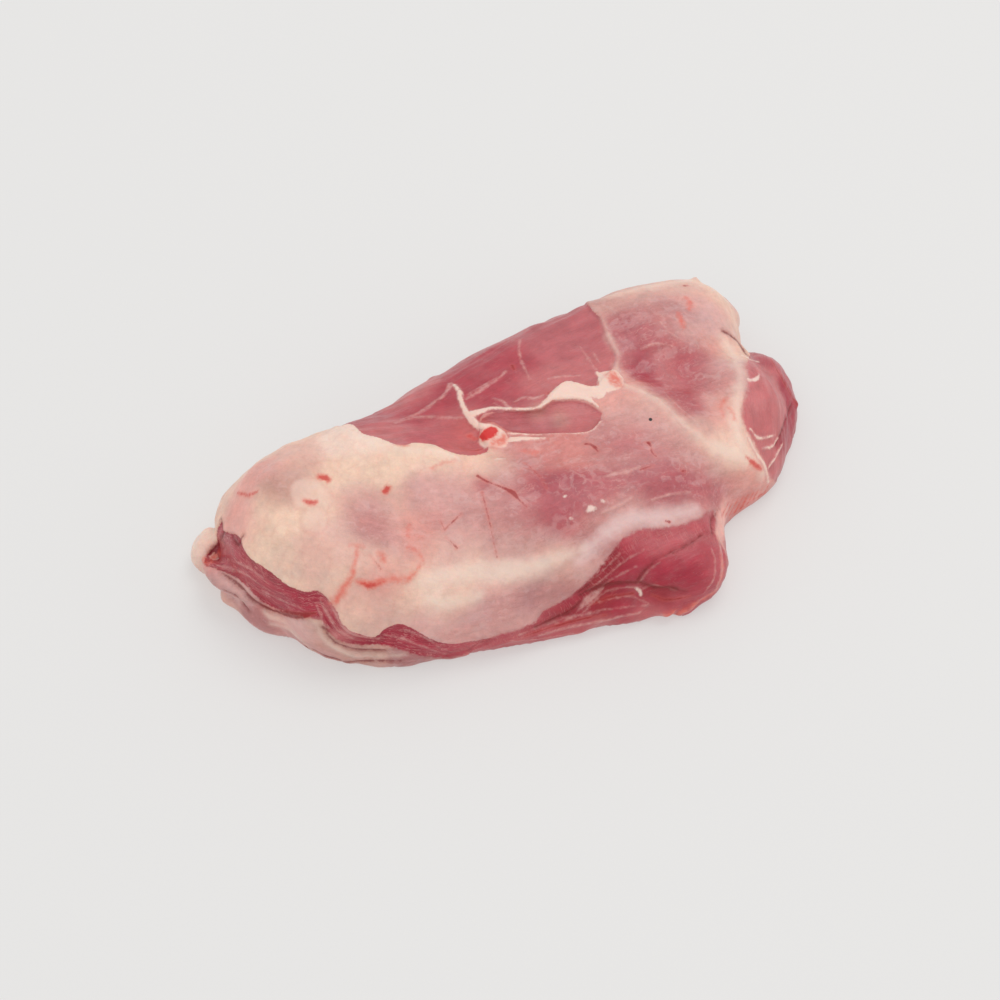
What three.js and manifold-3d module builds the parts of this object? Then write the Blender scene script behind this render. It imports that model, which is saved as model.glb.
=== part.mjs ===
// Boneless veal shoulder: one joint of raw meat, lying on its underside.
// Millimetres, +Z up. The origin is on the surface that it lies on, under the middle of the joint.
// +X runs along it, from the thick fat-covered end to the thin trimmed end, and -Y is the cut front side.
import * as THREE from "three";
import { ImprovedNoise } from "three/addons/math/ImprovedNoise.js";
import { mergeVertices } from "three/addons/utils/BufferGeometryUtils.js";
import Module from "manifold-3d";

const { clamp, degToRad, lerp, smoothstep } = THREE.MathUtils;

// Driving sizes
const HALF_LENGTH = 157;
const HALF_WIDTH = 89;
const THINNEST = 16;

// Each body of meat starts as a ball of even triangles, whose edges are cut this many times.
const JOINT_DETAIL = 19;

// Rounds of evening that take the sharp corners off the main body before its relief
const EVENING = 2;

// The bodies are shaped so far into the surface that the joint lies on, and are then cut flat there.
const SINK = 3;

// Shares of the joint's ball, from its south pole up, that become each part of the section
const UNDERSIDE_SHARE = 0.07;
const LOWER_WALL_SHARE = 0.17;
const UPPER_WALL_SHARE = 0.26;

// Towards the middle the rings of the skin turn from the outline into an ellipse, so that no triangle is a sliver.
const CORE = 0.62 * HALF_LENGTH * HALF_WIDTH;
const CORE_SPREAD = 2;

// The outline of the main body from above, anticlockwise from the thin end.
// x and y: a point of the outline. waist: the height at which the side stands out furthest.
// round: how far in the top rolls over. under: how far in the side curls under.
const OUTLINE = [
  { x: 153, y: 19, waist: 13, round: 18, under: 8 },
  { x: 145, y: 33, waist: 12, round: 16, under: 8 },
  { x: 151, y: 46, waist: 14, round: 16, under: 9 },
  { x: 157, y: 60, waist: 15, round: 18, under: 10 },
  { x: 155, y: 77, waist: 15, round: 22, under: 10 },
  { x: 140, y: 87, waist: 16, round: 26, under: 10 },
  { x: 112, y: 90, waist: 17, round: 30, under: 12 },
  { x: 70, y: 91, waist: 18, round: 32, under: 14 },
  { x: 25, y: 91, waist: 19, round: 32, under: 15 },
  { x: -8, y: 84, waist: 20, round: 32, under: 15 },
  { x: -26, y: 82, waist: 20, round: 32, under: 15 },
  { x: -44, y: 73, waist: 21, round: 34, under: 16 },
  { x: -90, y: 70, waist: 24, round: 36, under: 17 },
  { x: -124, y: 68, waist: 24, round: 30, under: 16 },
  { x: -140, y: 54, waist: 24, round: 26, under: 14 },
  { x: -146, y: 30, waist: 24, round: 26, under: 12 },
  { x: -144, y: 8, waist: 23, round: 24, under: 10 },
  { x: -134, y: -9, waist: 22, round: 24, under: 9 },
  { x: -126, y: -30, waist: 20, round: 26, under: 8 },
  { x: -107, y: -44, waist: 18, round: 26, under: 8 },
  { x: -83, y: -54, waist: 15, round: 26, under: 7 },
  { x: -50, y: -64, waist: 12, round: 26, under: 7 },
  { x: -8, y: -75, waist: 12, round: 26, under: 7 },
  { x: 20, y: -77, waist: 12, round: 22, under: 7 },
  { x: 52, y: -90, waist: 13, round: 18, under: 7 },
  { x: 70, y: -86, waist: 13, round: 16, under: 7 },
  { x: 77, y: -65, waist: 12, round: 16, under: 7 },
  { x: 90, y: -46, waist: 11, round: 16, under: 7 },
  { x: 118, y: -44, waist: 11, round: 16, under: 8 },
  { x: 138, y: -26, waist: 12, round: 16, under: 8 },
  { x: 146, y: -8, waist: 13, round: 18, under: 8 },
];

// The muscles that carry the top, each a dome at x, y with half its length and breadth,
// turned by so many degrees, and so high above the surface that the joint lies on
const MUSCLES = [
  { name: "fat-covered mound", x: -84, y: 10, long: 74, broad: 64, turn: -8, high: 65 },
  { name: "middle of the shoulder", x: 10, y: -8, long: 108, broad: 56, turn: -2, high: 58 },
  { name: "near flank", x: -22, y: 48, long: 66, broad: 44, turn: 4, high: 54 },
  { name: "far flank", x: 54, y: 50, long: 84, broad: 46, turn: 3, high: 55 },
  { name: "neck lobe", x: 118, y: 58, long: 44, broad: 42, turn: 30, high: 43 },
  { name: "fat seam", x: 102, y: 0, long: 56, broad: 34, turn: -22, high: 43 },
  { name: "shank end", x: 134, y: 4, long: 30, broad: 42, turn: 0, high: 32 },
  { name: "front flap", x: 46, y: -60, long: 44, broad: 34, turn: 6, high: 36 },
];
const MUSCLE_EDGE = 0.5;
const MUSCLE_JOIN = 6;

// Lobes that are fused to the main body and leave a fold where they meet it.
// Each is swept along its path, so wide and so high to each side of it at the middle.
const LOBES = [
  { name: "tail of the lower layer", detail: 4, wide: 11, high: 12, path: [[-134, 58, 8], [-145, 47, 8], [-146, 32, 8]] },
  { name: "red tip", detail: 3, wide: 7, high: 7, path: [[-153, 42, 14], [-148, 22, 20], [-130, -10, 20]] },
  { name: "lower layer", detail: 5, wide: 11, high: 14, path: [[-146, 44, 8], [-140, 17, 9], [-128, -6, 9], [-106, -32, 8]] },
  { name: "front lip", detail: 6, wide: 11, high: 12, path: [[-131, -4, 7], [-104, -32, 6], [-76, -45, 5], [-20, -60, 4]] },
  { name: "under the crease", detail: 6, wide: 11, high: 12, path: [[-50, -54, 4], [-2, -62, 5], [36, -71, 5], [62, -71, 4]] },
  { name: "trimmed end", detail: 8, wide: 18, high: 27, path: [[149, 46, 3], [145, 12, 3], [124, -36, 4]] },
];

// Seams that stand out of the skin, or sink into it where high is below 0. A lip is steep on its
// right-hand side, seen along its path, and falls away slowly, over gentle, on its left.
const SEAMS = [
  { name: "edge of the fat", steep: 5, gentle: 26, high: 3.4,
    path: [[0, -16, 58], [-27, 4, 62], [-48, 15, 67], [-65, 34, 66], [-76, 50, 61]] },
  { name: "edge of the cap", steep: 11, gentle: 22, high: 2,
    path: [[-140, 44, 28], [-138, 20, 40], [-131, -7, 42], [-115, -33, 38], [-90, -50, 32]] },
  { name: "standing sinew", steep: 7, gentle: 7, high: 2, path: [[-11, 51, 56], [-14, 39, 58], [-14, 19, 60]] },
  { name: "sinew strip", steep: 6, gentle: 6, high: 2.2, path: [[-15, 28, 60], [10, 22, 60], [32, 24, 59], [58, 19, 58]] },
  { name: "lower sinew", steep: 5, gentle: 5, high: 1.6, path: [[-6, 10, 58], [24, -6, 58], [37, -10, 58]] },
  { name: "fat seam", steep: 10, gentle: 12, high: 3,
    path: [[57, 18, 58], [80, -20, 53], [101, -40, 35]] },
  { name: "end seam", steep: 8, gentle: 9, high: 2.6, path: [[142, 38, 28], [128, 8, 38], [118, -34, 30]] },
  { name: "flank groove", steep: 14, gentle: 14, high: -2.6, path: [[-60, 60, 55], [-30, 30, 60], [-12, 8, 60]] },
  { name: "front crease", steep: 10, gentle: 12, high: -3, path: [[-30, -70, 18], [4, -73, 20], [34, -80, 18], [58, -86, 14]] },
];

// Hollows and swellings of the top, each with half its length and breadth
const SWELLS = [
  { name: "muscle window", x: 20, y: 9, long: 28, broad: 8, turn: -14, high: -2 },
  { name: "neck hollow", x: 92, y: 18, long: 26, broad: 15, turn: -35, high: -3.5 },
  { name: "long muscle", x: 10, y: -34, long: 70, broad: 16, turn: -6, high: 2.5 },
  { name: "fat lobule", x: -112, y: 30, long: 16, broad: 12, turn: 30, high: 2.5 },
  { name: "mound dip", x: -84, y: -16, long: 22, broad: 14, turn: 0, high: -2 },
];

// Unevenness all over the skin, as coarse and fine lumps
const LUMPS = [
  { across: 38, high: 2.2 },
  { across: 15, high: 0.9 },
];
const FLAT_FOOT = 2;
const RELIEF_STARTS = 9;

const noise = new ImprovedNoise();
const wasm = await Module();
wasm.setup();

// The outline as a dense ring of points, each with its angle seen from the middle
function outlineRing() {
  const steps = 900;
  const curve = (pick) => new THREE.CatmullRomCurve3(OUTLINE.map(pick), true, "centripetal");
  const place = curve((p) => new THREE.Vector3(p.x, p.y, p.waist));
  const rolled = curve((p) => new THREE.Vector3(p.round, p.under, 0));
  const ring = [];
  for (let i = 0; i < steps; i++) {
    const at = place.getPoint(i / steps);
    const roll = rolled.getPoint(i / steps);
    ring.push({
      angle: Math.atan2(at.y, at.x),
      reach: Math.hypot(at.x, at.y),
      waist: at.z,
      round: roll.x,
      under: roll.y,
    });
  }
  return ring.sort((a, b) => a.angle - b.angle);
}

const ring = outlineRing();

// The outline in the direction of an angle, worked out between the two nearest points of the ring
function outlineAt(angle) {
  let low = 0;
  let high = ring.length;
  while (low < high) {
    const middle = (low + high) >> 1;
    if (ring[middle].angle < angle) low = middle + 1;
    else high = middle;
  }
  const after = ring[low % ring.length];
  const before = ring[(low + ring.length - 1) % ring.length];
  const turn = 2 * Math.PI;
  const gap = (after.angle - before.angle + turn) % turn;
  const share = gap > 0 ? ((angle - before.angle + turn) % turn) / gap : 0;
  const mix = (key) => lerp(before[key], after[key], share);
  return { reach: mix("reach"), waist: mix("waist"), round: mix("round"), under: mix("under") };
}

// How far out of a turned ellipse a point is: 0 at its middle and 1 on its edge, squared
function ellipseOut(shape, x, y) {
  const turn = degToRad(shape.turn);
  const dx = x - shape.x;
  const dy = y - shape.y;
  const along = (dx * Math.cos(turn) + dy * Math.sin(turn)) / shape.long;
  const across = (dy * Math.cos(turn) - dx * Math.sin(turn)) / shape.broad;
  return along * along + across * across;
}

// Height of the top over a point: the muscles' domes, run together softly
function topHeight(x, y) {
  const domes = MUSCLES.map((m) => m.high * Math.exp(-MUSCLE_EDGE * ellipseOut(m, x, y) ** 2));
  const sum = domes.reduce((total, dome) => total + dome ** MUSCLE_JOIN, THINNEST ** MUSCLE_JOIN);
  return sum ** (1 / MUSCLE_JOIN);
}

// The point of the main body's skin that a direction of the ball becomes
function skinPoint(direction) {
  const angle = Math.atan2(direction.y * HALF_WIDTH, direction.x * HALF_LENGTH);
  const edge = outlineAt(angle);
  const share = 0.5 + Math.asin(clamp(direction.z, -1, 1)) / Math.PI;
  const waist = UNDERSIDE_SHARE + LOWER_WALL_SHARE;
  const wallTop = waist + UPPER_WALL_SHARE;
  const core = CORE / Math.hypot(Math.cos(angle) * HALF_WIDTH, Math.sin(angle) * HALF_LENGTH);
  const disc = (rolled, part) => part * lerp(core, edge.reach - rolled, part ** CORE_SPREAD);
  const wall = (rolled, bend) => edge.reach - rolled * (1 - Math.cos(bend));
  const quarter = Math.PI / 2;
  let out;
  let lift;
  if (share < UNDERSIDE_SHARE) {
    out = disc(edge.under, share / UNDERSIDE_SHARE);
    lift = -1;
  } else if (share < waist) {
    const bend = ((share - waist) / LOWER_WALL_SHARE) * quarter;
    out = wall(edge.under, bend);
    lift = Math.sin(bend);
  } else if (share < wallTop) {
    const bend = ((share - waist) / UPPER_WALL_SHARE) * quarter;
    out = wall(edge.round, bend);
    lift = Math.sin(bend);
  } else {
    out = disc(edge.round, (1 - share) / (1 - wallTop));
    lift = 1;
  }
  const x = out * Math.cos(angle);
  const y = out * Math.sin(angle);
  const z = lift < 0 ? lerp(edge.waist, -SINK, -lift) : lerp(edge.waist, topHeight(x, y), lift);
  return new THREE.Vector3(x, y, z);
}

// The point of a lobe's skin: the ball is drawn out along the path and narrows at both its ends
function lobePoint(lobe, curve, direction) {
  const share = 0.5 + Math.asin(clamp(direction.x, -1, 1)) / Math.PI;
  const middle = curve.getPoint(share);
  const ahead = curve.getTangent(share);
  const side = new THREE.Vector3(-ahead.y, ahead.x, 0).normalize();
  const p = middle.clone().addScaledVector(side, lobe.wide * direction.y);
  p.z = middle.z + lobe.high * direction.z;
  return p.addScaledVector(direction, lumpsAt(p));
}

function points(path) {
  return path.map((p) => new THREE.Vector3(...p));
}

// A seam's path as short straight pieces
function seamPieces(seam) {
  const spaced = new THREE.CatmullRomCurve3(points(seam.path)).getSpacedPoints(32);
  return spaced.slice(1).map((to, i) => new THREE.Line3(spaced[i], to));
}

const seams = SEAMS.map((seam) => ({ ...seam, pieces: seamPieces(seam) }));

// How much a seam lifts a point: by its distance from the path, less towards both ends of it
function seamLift(seam, p) {
  const near = new THREE.Vector3();
  const best = { gap: Infinity, share: 0, left: true };
  seam.pieces.forEach((piece, i) => {
    const part = piece.closestPointToPointParameter(p, true);
    piece.at(part, near);
    const gap = near.distanceTo(p);
    if (gap >= best.gap) return;
    const ahead = piece.delta(new THREE.Vector3());
    best.gap = gap;
    best.share = (i + part) / seam.pieces.length;
    best.left = ahead.x * (p.y - near.y) - ahead.y * (p.x - near.x) > 0;
  });
  const reach = best.left ? seam.gentle : seam.steep;
  const ends = smoothstep(Math.min(best.share, 1 - best.share), -0.02, 0.16);
  return seam.high * ends * Math.exp(-((best.gap / reach) ** 2) * 1.6);
}

// How much the unevenness of the meat lifts a point
function lumpsAt(p) {
  return LUMPS.reduce((lift, { across, high }) => {
    return lift + high * noise.noise(p.x / across, p.y / across, p.z / across);
  }, 0);
}

// How far relief lifts a point of the skin out of its place
function reliefAt(p) {
  let lift = 0;
  for (const seam of seams) lift += seamLift(seam, p);
  for (const swell of SWELLS) lift += swell.high * Math.exp(-(ellipseOut(swell, p.x, p.y) ** 2));
  return (lift + lumpsAt(p)) * smoothstep(p.z, FLAT_FOOT, RELIEF_STARTS);
}

// A ball of even triangles with each point moved to its place on a body of meat
function shapedBall(detail, place) {
  const ball = new THREE.IcosahedronGeometry(1, detail);
  ball.deleteAttribute("normal");
  ball.deleteAttribute("uv");
  const skin = mergeVertices(ball, 1e-5);
  const position = skin.getAttribute("position");
  const p = new THREE.Vector3();
  for (let i = 0; i < position.count; i++) {
    p.copy(place(p.fromBufferAttribute(position, i).normalize()));
    position.setXYZ(i, p.x, p.y, p.z);
  }
  skin.computeVertexNormals();
  return skin;
}

// Evens out a skin: in each round every point moves half of the way to the middle of those around it
function evened(skin, rounds) {
  const position = skin.getAttribute("position");
  const around = Array.from({ length: position.count }, () => new Set());
  for (let i = 0; i < skin.index.count; i += 3) {
    const corners = [0, 1, 2].map((k) => skin.index.getX(i + k));
    for (const corner of corners) corners.forEach((other) => around[corner].add(other));
  }
  const p = new THREE.Vector3();
  for (let round = 0; round < rounds; round++) {
    const before = position.clone();
    for (let i = 0; i < position.count; i++) {
      const middle = new THREE.Vector3();
      for (const other of around[i]) middle.add(p.fromBufferAttribute(before, other));
      middle.divideScalar(around[i].size);
      p.fromBufferAttribute(before, i).lerp(middle, 0.5);
      position.setXYZ(i, p.x, p.y, p.z);
    }
  }
  skin.computeVertexNormals();
  return skin;
}

function mainBody() {
  const skin = evened(shapedBall(JOINT_DETAIL, skinPoint), EVENING);
  const position = skin.getAttribute("position");
  const normal = skin.getAttribute("normal");
  const p = new THREE.Vector3();
  const n = new THREE.Vector3();
  for (let i = 0; i < position.count; i++) {
    p.fromBufferAttribute(position, i);
    n.fromBufferAttribute(normal, i);
    p.addScaledVector(n, reliefAt(p));
    position.setXYZ(i, p.x, p.y, p.z);
  }
  return skin;
}

function lobeBody(lobe) {
  const curve = new THREE.CatmullRomCurve3(points(lobe.path));
  return shapedBall(lobe.detail, (direction) => lobePoint(lobe, curve, direction));
}

function solidOf(geometry) {
  return new wasm.Manifold(
    new wasm.Mesh({
      numProp: 3,
      vertProperties: geometry.getAttribute("position").array,
      triVerts: new Uint32Array(geometry.index.array),
    }),
  );
}

function geometryOf(solid) {
  const { vertProperties, triVerts } = solid.getMesh();
  const geometry = new THREE.BufferGeometry();
  geometry.setAttribute("position", new THREE.BufferAttribute(vertProperties, 3));
  geometry.setIndex(new THREE.BufferAttribute(triVerts, 1));
  return geometry;
}

// What lies below the surface that the joint rests on
function surfaceBlock() {
  const deep = 60;
  const block = new THREE.BoxGeometry(3 * HALF_LENGTH, 3 * HALF_WIDTH, deep);
  block.translate(0, 0, -deep / 2);
  block.deleteAttribute("normal");
  block.deleteAttribute("uv");
  return mergeVertices(block);
}

// The origin is set under the middle of the joint's box
function centred(geometry) {
  geometry.computeBoundingBox();
  const box = geometry.boundingBox;
  geometry.translate(-(box.min.x + box.max.x) / 2, -(box.min.y + box.max.y) / 2, -box.min.z);
  geometry.computeVertexNormals();
  return geometry;
}

const fused = LOBES.reduce((solid, lobe) => solid.add(solidOf(lobeBody(lobe))), solidOf(mainBody()));
const whole = fused.subtract(solidOf(surfaceBlock()));
const meat = new THREE.MeshStandardMaterial({ color: 0xc98f88, roughness: 0.42, metalness: 0 });
const joint = new THREE.Mesh(centred(geometryOf(whole)), meat);
joint.name = "veal_shoulder";

const model = new THREE.Group();
model.add(joint);
export default model;
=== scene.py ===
"""Looks of a boneless veal shoulder: its skin, finish, floor, light and camera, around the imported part.

The joint lies on z = 0 with its thick, fat-covered end towards -X and its cut front side towards -Y.
Names that end in _mm are millimetres in the part's frame, and Blender's own objects are in metres.
Lines and patches on the meat are given where they show in the photograph, in its 1000 x 1000 pixels,
and are cast through its camera onto the skin, so that they lie on the meat from every side.
"""

import logging
import math
from collections.abc import Iterable, Sequence
from dataclasses import dataclass, field
from enum import Enum

import bpy
import numpy as np
from mathutils import Matrix, Vector, noise
from mathutils.bvhtree import BVHTree
from mathutils.kdtree import KDTree

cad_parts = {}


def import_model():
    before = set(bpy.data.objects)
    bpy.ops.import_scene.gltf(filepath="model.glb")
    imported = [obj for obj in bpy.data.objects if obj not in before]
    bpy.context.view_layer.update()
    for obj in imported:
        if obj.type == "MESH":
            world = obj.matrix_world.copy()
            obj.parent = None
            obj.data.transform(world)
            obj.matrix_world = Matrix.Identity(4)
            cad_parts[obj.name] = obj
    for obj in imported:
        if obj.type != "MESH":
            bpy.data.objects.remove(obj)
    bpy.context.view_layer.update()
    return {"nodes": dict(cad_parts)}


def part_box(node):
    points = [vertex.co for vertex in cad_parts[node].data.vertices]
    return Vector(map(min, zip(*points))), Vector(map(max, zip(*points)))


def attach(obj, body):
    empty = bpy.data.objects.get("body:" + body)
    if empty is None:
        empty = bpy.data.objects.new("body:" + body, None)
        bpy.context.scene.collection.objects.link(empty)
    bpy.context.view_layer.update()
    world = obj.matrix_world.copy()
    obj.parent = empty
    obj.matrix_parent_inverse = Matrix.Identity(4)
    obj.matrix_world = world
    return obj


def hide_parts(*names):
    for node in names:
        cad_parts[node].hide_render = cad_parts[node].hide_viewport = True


MM = 0.001
PHOTO_SIDE = 1000
SHINE = 0.04
DARKEST = 0.004
SEEN_STEP_PX = 1.6
HIDDEN_STEP_MM = 1.0
FAR_OFF_MM = 30.0
TINY = 1e-9
NODE = "veal_shoulder"

Pixel = tuple[float, float]
Pixels = tuple[Pixel, ...]
Places = tuple[tuple[float, float, float], ...]
Colour = tuple[float, float, float]
Row = tuple[str, tuple[float, ...], Pixels]
Value = "Wire | float | Sequence[float]"

log = logging.getLogger("veal_shoulder")


def linear(colour: Colour) -> Colour:
    """Turns a colour as a screen shows it into the linear values that shaders use.

    Args:
        colour: Red, green and blue, each from 0 to 255.

    Returns:
        The linear colour, each part from 0 to 1.
    """
    shares = [part / 255 for part in colour]
    return tuple(s / 12.92 if s <= 0.04045 else ((s + 0.055) / 1.055) ** 2.4 for s in shares)


def matt(colour: Colour) -> Colour:
    """Takes the light that a moist surface adds off a colour as a screen shows it.

    Args:
        colour: Red, green and blue of the moist surface, each from 0 to 255.

    Returns:
        The linear colour that gives it under the shine.
    """
    return tuple(max(part - SHINE, DARKEST) for part in linear(colour))


class Tone(Enum):
    """Colours of the meat: fat and film first, then the muscles."""

    IVORY = (255, 223, 205)
    BUTTER = (250, 214, 190)
    CREAM = (247, 205, 183)
    PEACH = (250, 186, 172)
    SAND = (236, 190, 174)
    BLUSH = (236, 170, 158)
    APRICOT = (221, 143, 135)
    PALE = (231, 182, 174)
    SHELL = (221, 167, 159)
    LILAC = (212, 154, 148)
    DUSK = (203, 140, 136)
    MAUVE = (186, 126, 124)
    TAN = (208, 158, 144)
    ROSE = (205, 127, 127)
    FLESH = (194, 109, 112)
    RED = (189, 101, 107)
    PINK = (198, 113, 116)
    CORAL = (213, 112, 108)
    BRICK = (190, 98, 104)
    SALMON = (208, 123, 123)
    WINE = (198, 101, 106)
    RUBY = (188, 86, 94)
    CLARET = (178, 65, 79)
    GARNET = (160, 46, 64)


class Mark(Enum):
    """Kinds of line and spot on the meat. Each is an attribute of the skin, in mm inwards from its edge."""

    SINEW = "sinew"
    VEIL = "veil"
    LOBULE = "lobule"
    SEAM = "seam"
    SILVER = "silver"
    STAIN = "stain"
    BLOOD = "blood"
    CLOT = "clot"
    # Vessels, and dark lines of painted shade in gaps, nicks and beside folds.
    VEIN_AND_SHADE = "vein"
    # Creases, folds and gaps; the colour they are given is painted shade, over a shallow groove.
    CREASE = "crease"
    SPECK = "speck"


class Cut(Enum):
    """Bare muscles. Each is an attribute of the skin, in mm inwards from its edge."""

    FLANK = "flank"
    WINDOW = "window"
    FRONT = "front"
    BAND = "band"
    END = "end"


@dataclass(frozen=True)
class Stroke:
    """A line or spot on the skin, with its half widths at even steps along it."""

    name: str
    mark: Mark
    half_widths_mm: tuple[float, ...]
    seen: Pixels = ()
    hidden_mm: Places = ()


@dataclass(frozen=True)
class Plate:
    """A flat sheet of one kind on the skin, by its closed outline."""

    name: str
    mark: Mark
    seen: Pixels


@dataclass(frozen=True)
class Patch:
    """A bare muscle. Its edge goes through what the photograph shows, then through the hidden places."""

    name: str
    cut: Cut
    seen: Pixels
    hidden_mm: Places = ()
    grain: Pixels = ()
    sunk_mm: float = 1.0
    edge_blend_mm: float = 1.2


@dataclass(frozen=True)
class Wash:
    """Places where the meat has a tone, which spreads until that of the next places takes over."""

    name: str
    tone: Tone
    seen: Pixels = ()
    hidden_mm: Places = ()
    spread_mm: float = 8.0


@dataclass(frozen=True)
class Swell:
    """A small rise of the skin, or below 0 a small hollow, round some places."""

    name: str
    rise_mm: float
    spread_mm: float
    seen: Pixels


def marks(mark: Mark, *rows: Row) -> tuple[Stroke, ...]:
    """Makes the strokes of one kind.

    Args:
        mark: Their kind.
        rows: The name, the half widths in mm and the pixels of each.

    Returns:
        The strokes.
    """
    return tuple(Stroke(name, mark, widths, seen) for name, widths, seen in rows)


SWELLS = (
    Swell("peak on the neck's rim", 2.2, 2.2, ((695, 281),)),
    Swell("corner of the neck lobe", 1.5, 5.0, ((737, 315),)),
    Swell("slope of the end", -2.2, 7.0, ((790, 376), (794, 385))),
    Swell("tip of the end", 1.4, 2.6, ((796, 404),)),
    Swell("nick below the tip", -0.9, 2.0, ((793, 416),)),
    Swell("tip of the flap", 3.0, 5.0, ((668, 618), (680, 614))),
    Swell("edge right of the tip", 1.2, 5.0, ((690, 609),)),
    Swell("nick left of the tip", -1.0, 4.0, ((648, 613),)),
    Swell("shoulder of the nub", 1.6, 3.4, ((208, 526),)),
    Swell("flat side of the nub", -0.8, 4.0, ((188, 536),)),
    Swell("corner of the lower layer", 3.4, 5.0, ((224, 600),)),
    Swell("hollow of the lower layer", -2.0, 5.0, ((280, 635), (290, 640))),
    Swell("knob of the lower layer", 1.2, 3.0, ((272, 614),)),
    Swell("far edge of the flank", 1.3, 7.0, ((532, 323), (552, 317), (580, 307))),
    Swell("lump on the far edge", 1.4, 3.5, ((430, 377),)),
    Swell("far edge of the cap", -1.2, 8.0, ((298, 440), (272, 454))),
    Swell("lumps of the front lip", 0.9, 4.0, ((449, 659), (580, 632), (348, 662))),
    Swell("nicks of the front lip", -0.9, 4.0, ((394, 668), (621, 623), (510, 652))),
    Swell("hollow above the flap", -1.6, 4.0, ((724, 537), (724, 542))),
)

PATCHES = (
    Patch(
        "flank muscle",
        Cut.FLANK,
        seen=(
            (338, 426), (352, 425), (364, 433), (382, 439), (400, 445), (414, 443), (430, 444), (444, 449),
            (458, 454), (476, 455), (488, 450), (480, 430), (484, 414), (508, 411), (531, 409), (545, 403),
            (551, 394), (566, 382), (592, 386), (603, 378), (612, 369), (614, 353), (606, 335), (600, 318),
            (588, 306),
        ),
        hidden_mm=((82, 92, 14), (56, 92, 6), (20, 90, 4), (-20, 82, 4), (-52, 76, 8), (-66, 74, 20)),
        grain=((345, 426), (450, 410), (520, 372), (600, 330)),
    ),
    Patch(
        "muscle between the sinews",
        Cut.WINDOW,
        seen=(
            (478, 423), (485, 417), (496, 412), (510, 411), (525, 411), (541, 409), (550, 403), (562, 401),
            (578, 401), (588, 404), (596, 409), (602, 414), (597, 425), (590, 431), (570, 434), (543, 433),
            (522, 433), (509, 431), (500, 426), (492, 422), (485, 424),
        ),
        grain=((485, 424), (545, 422), (604, 416)),
        sunk_mm=0.8,
    ),
    Patch(
        "front muscle",
        Cut.FRONT,
        seen=(
            (470, 650), (480, 641), (499, 635), (518, 630), (535, 622), (545, 610), (564, 601), (577, 590),
            (589, 580), (602, 566), (614, 549), (627, 536), (641, 529), (660, 528), (682, 525), (699, 518),
            (712, 511), (716, 522), (716, 535), (724, 548), (727, 568),
        ),
        hidden_mm=((70, -62, 0), (40, -66, 0), (0, -62, 0), (-30, -58, 0), (-58, -54, 0)),
        grain=((470, 650), (560, 612), (620, 575), (716, 528)),
        sunk_mm=0.7,
        edge_blend_mm=2.5,
    ),
    Patch(
        "red band under the fat",
        Cut.BAND,
        seen=(
            (221, 521), (224, 531), (238, 536), (245, 551), (254, 561), (267, 569), (289, 586), (306, 592),
            (318, 591), (329, 600), (337, 612), (343, 624), (355, 633), (374, 637), (387, 628), (400, 624),
            (413, 629), (433, 640), (453, 644), (480, 640), (494, 640), (470, 652), (445, 657), (422, 656),
            (401, 650), (380, 645), (359, 645), (340, 641), (328, 632), (322, 621), (306, 617), (285, 612),
            (264, 603), (249, 589), (231, 575), (217, 569), (205, 565), (206, 557), (214, 546),
        ),
        grain=(
            (205, 558), (228, 556), (262, 586), (300, 605), (322, 606), (345, 634), (380, 640), (440, 649),
            (490, 641),
        ),
        sunk_mm=0.9,
    ),
    Patch(
        "muscle of the trimmed end",
        Cut.END,
        seen=(
            (750, 354), (747, 366), (749, 379), (745, 395), (741, 412), (746, 429), (755, 444), (763, 460),
            (770, 476), (779, 484),
        ),
        hidden_mm=((116, -34, 0), (138, -8, 0), (138, 18, 0), (142, 34, 3)),
        grain=((752, 358), (768, 400), (774, 470)),
        sunk_mm=0.4,
        edge_blend_mm=2.2,
    ),
)

PLATES = (
    Plate("broad sinew", Mark.SINEW,
        ((542, 407), (546, 398), (551, 391), (557, 385), (567, 381), (578, 383), (587, 386), (599, 386),
         (600, 381), (596, 371), (603, 372), (608, 370), (609, 382), (607, 393), (601, 400), (594, 398),
         (588, 397), (594, 401), (602, 412), (596, 407), (588, 402), (576, 400), (560, 400), (550, 402))),
    Plate("knot at its right end", Mark.SINEW,
        ((598, 374), (605, 370), (614, 371), (622, 376), (624, 384), (618, 390), (608, 393), (600, 390))),
    Plate("fat round the clot", Mark.SINEW,
        ((484, 447), (479, 441), (481, 432), (487, 426), (496, 426), (503, 433), (508, 440), (506, 447),
         (496, 449))),
    Plate("clot", Mark.CLOT,
        ((478, 437), (483, 432), (488, 428), (496, 429), (497, 435), (493, 440), (487, 443), (482, 441))),
    Plate("drop-shaped gristle", Mark.VEIL,
        ((577, 612), (582, 603), (588, 595), (604, 588), (598, 597), (588, 605))),
    Plate("fleck on the long muscle", Mark.SPECK,
        ((586, 511), (588, 506), (592, 505), (596, 508), (592, 511), (588, 513))),
    Plate("large lobule", Mark.LOBULE,
        ((302, 514), (308, 508), (316, 508), (325, 513), (328, 521), (324, 530), (315, 534), (306, 531),
         (301, 523))),
    Plate("upper lobule", Mark.LOBULE,
        ((288, 494), (291, 484), (300, 478), (312, 478), (322, 484), (330, 492), (332, 502), (326, 509),
         (316, 506), (306, 508), (296, 507))),
)

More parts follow.
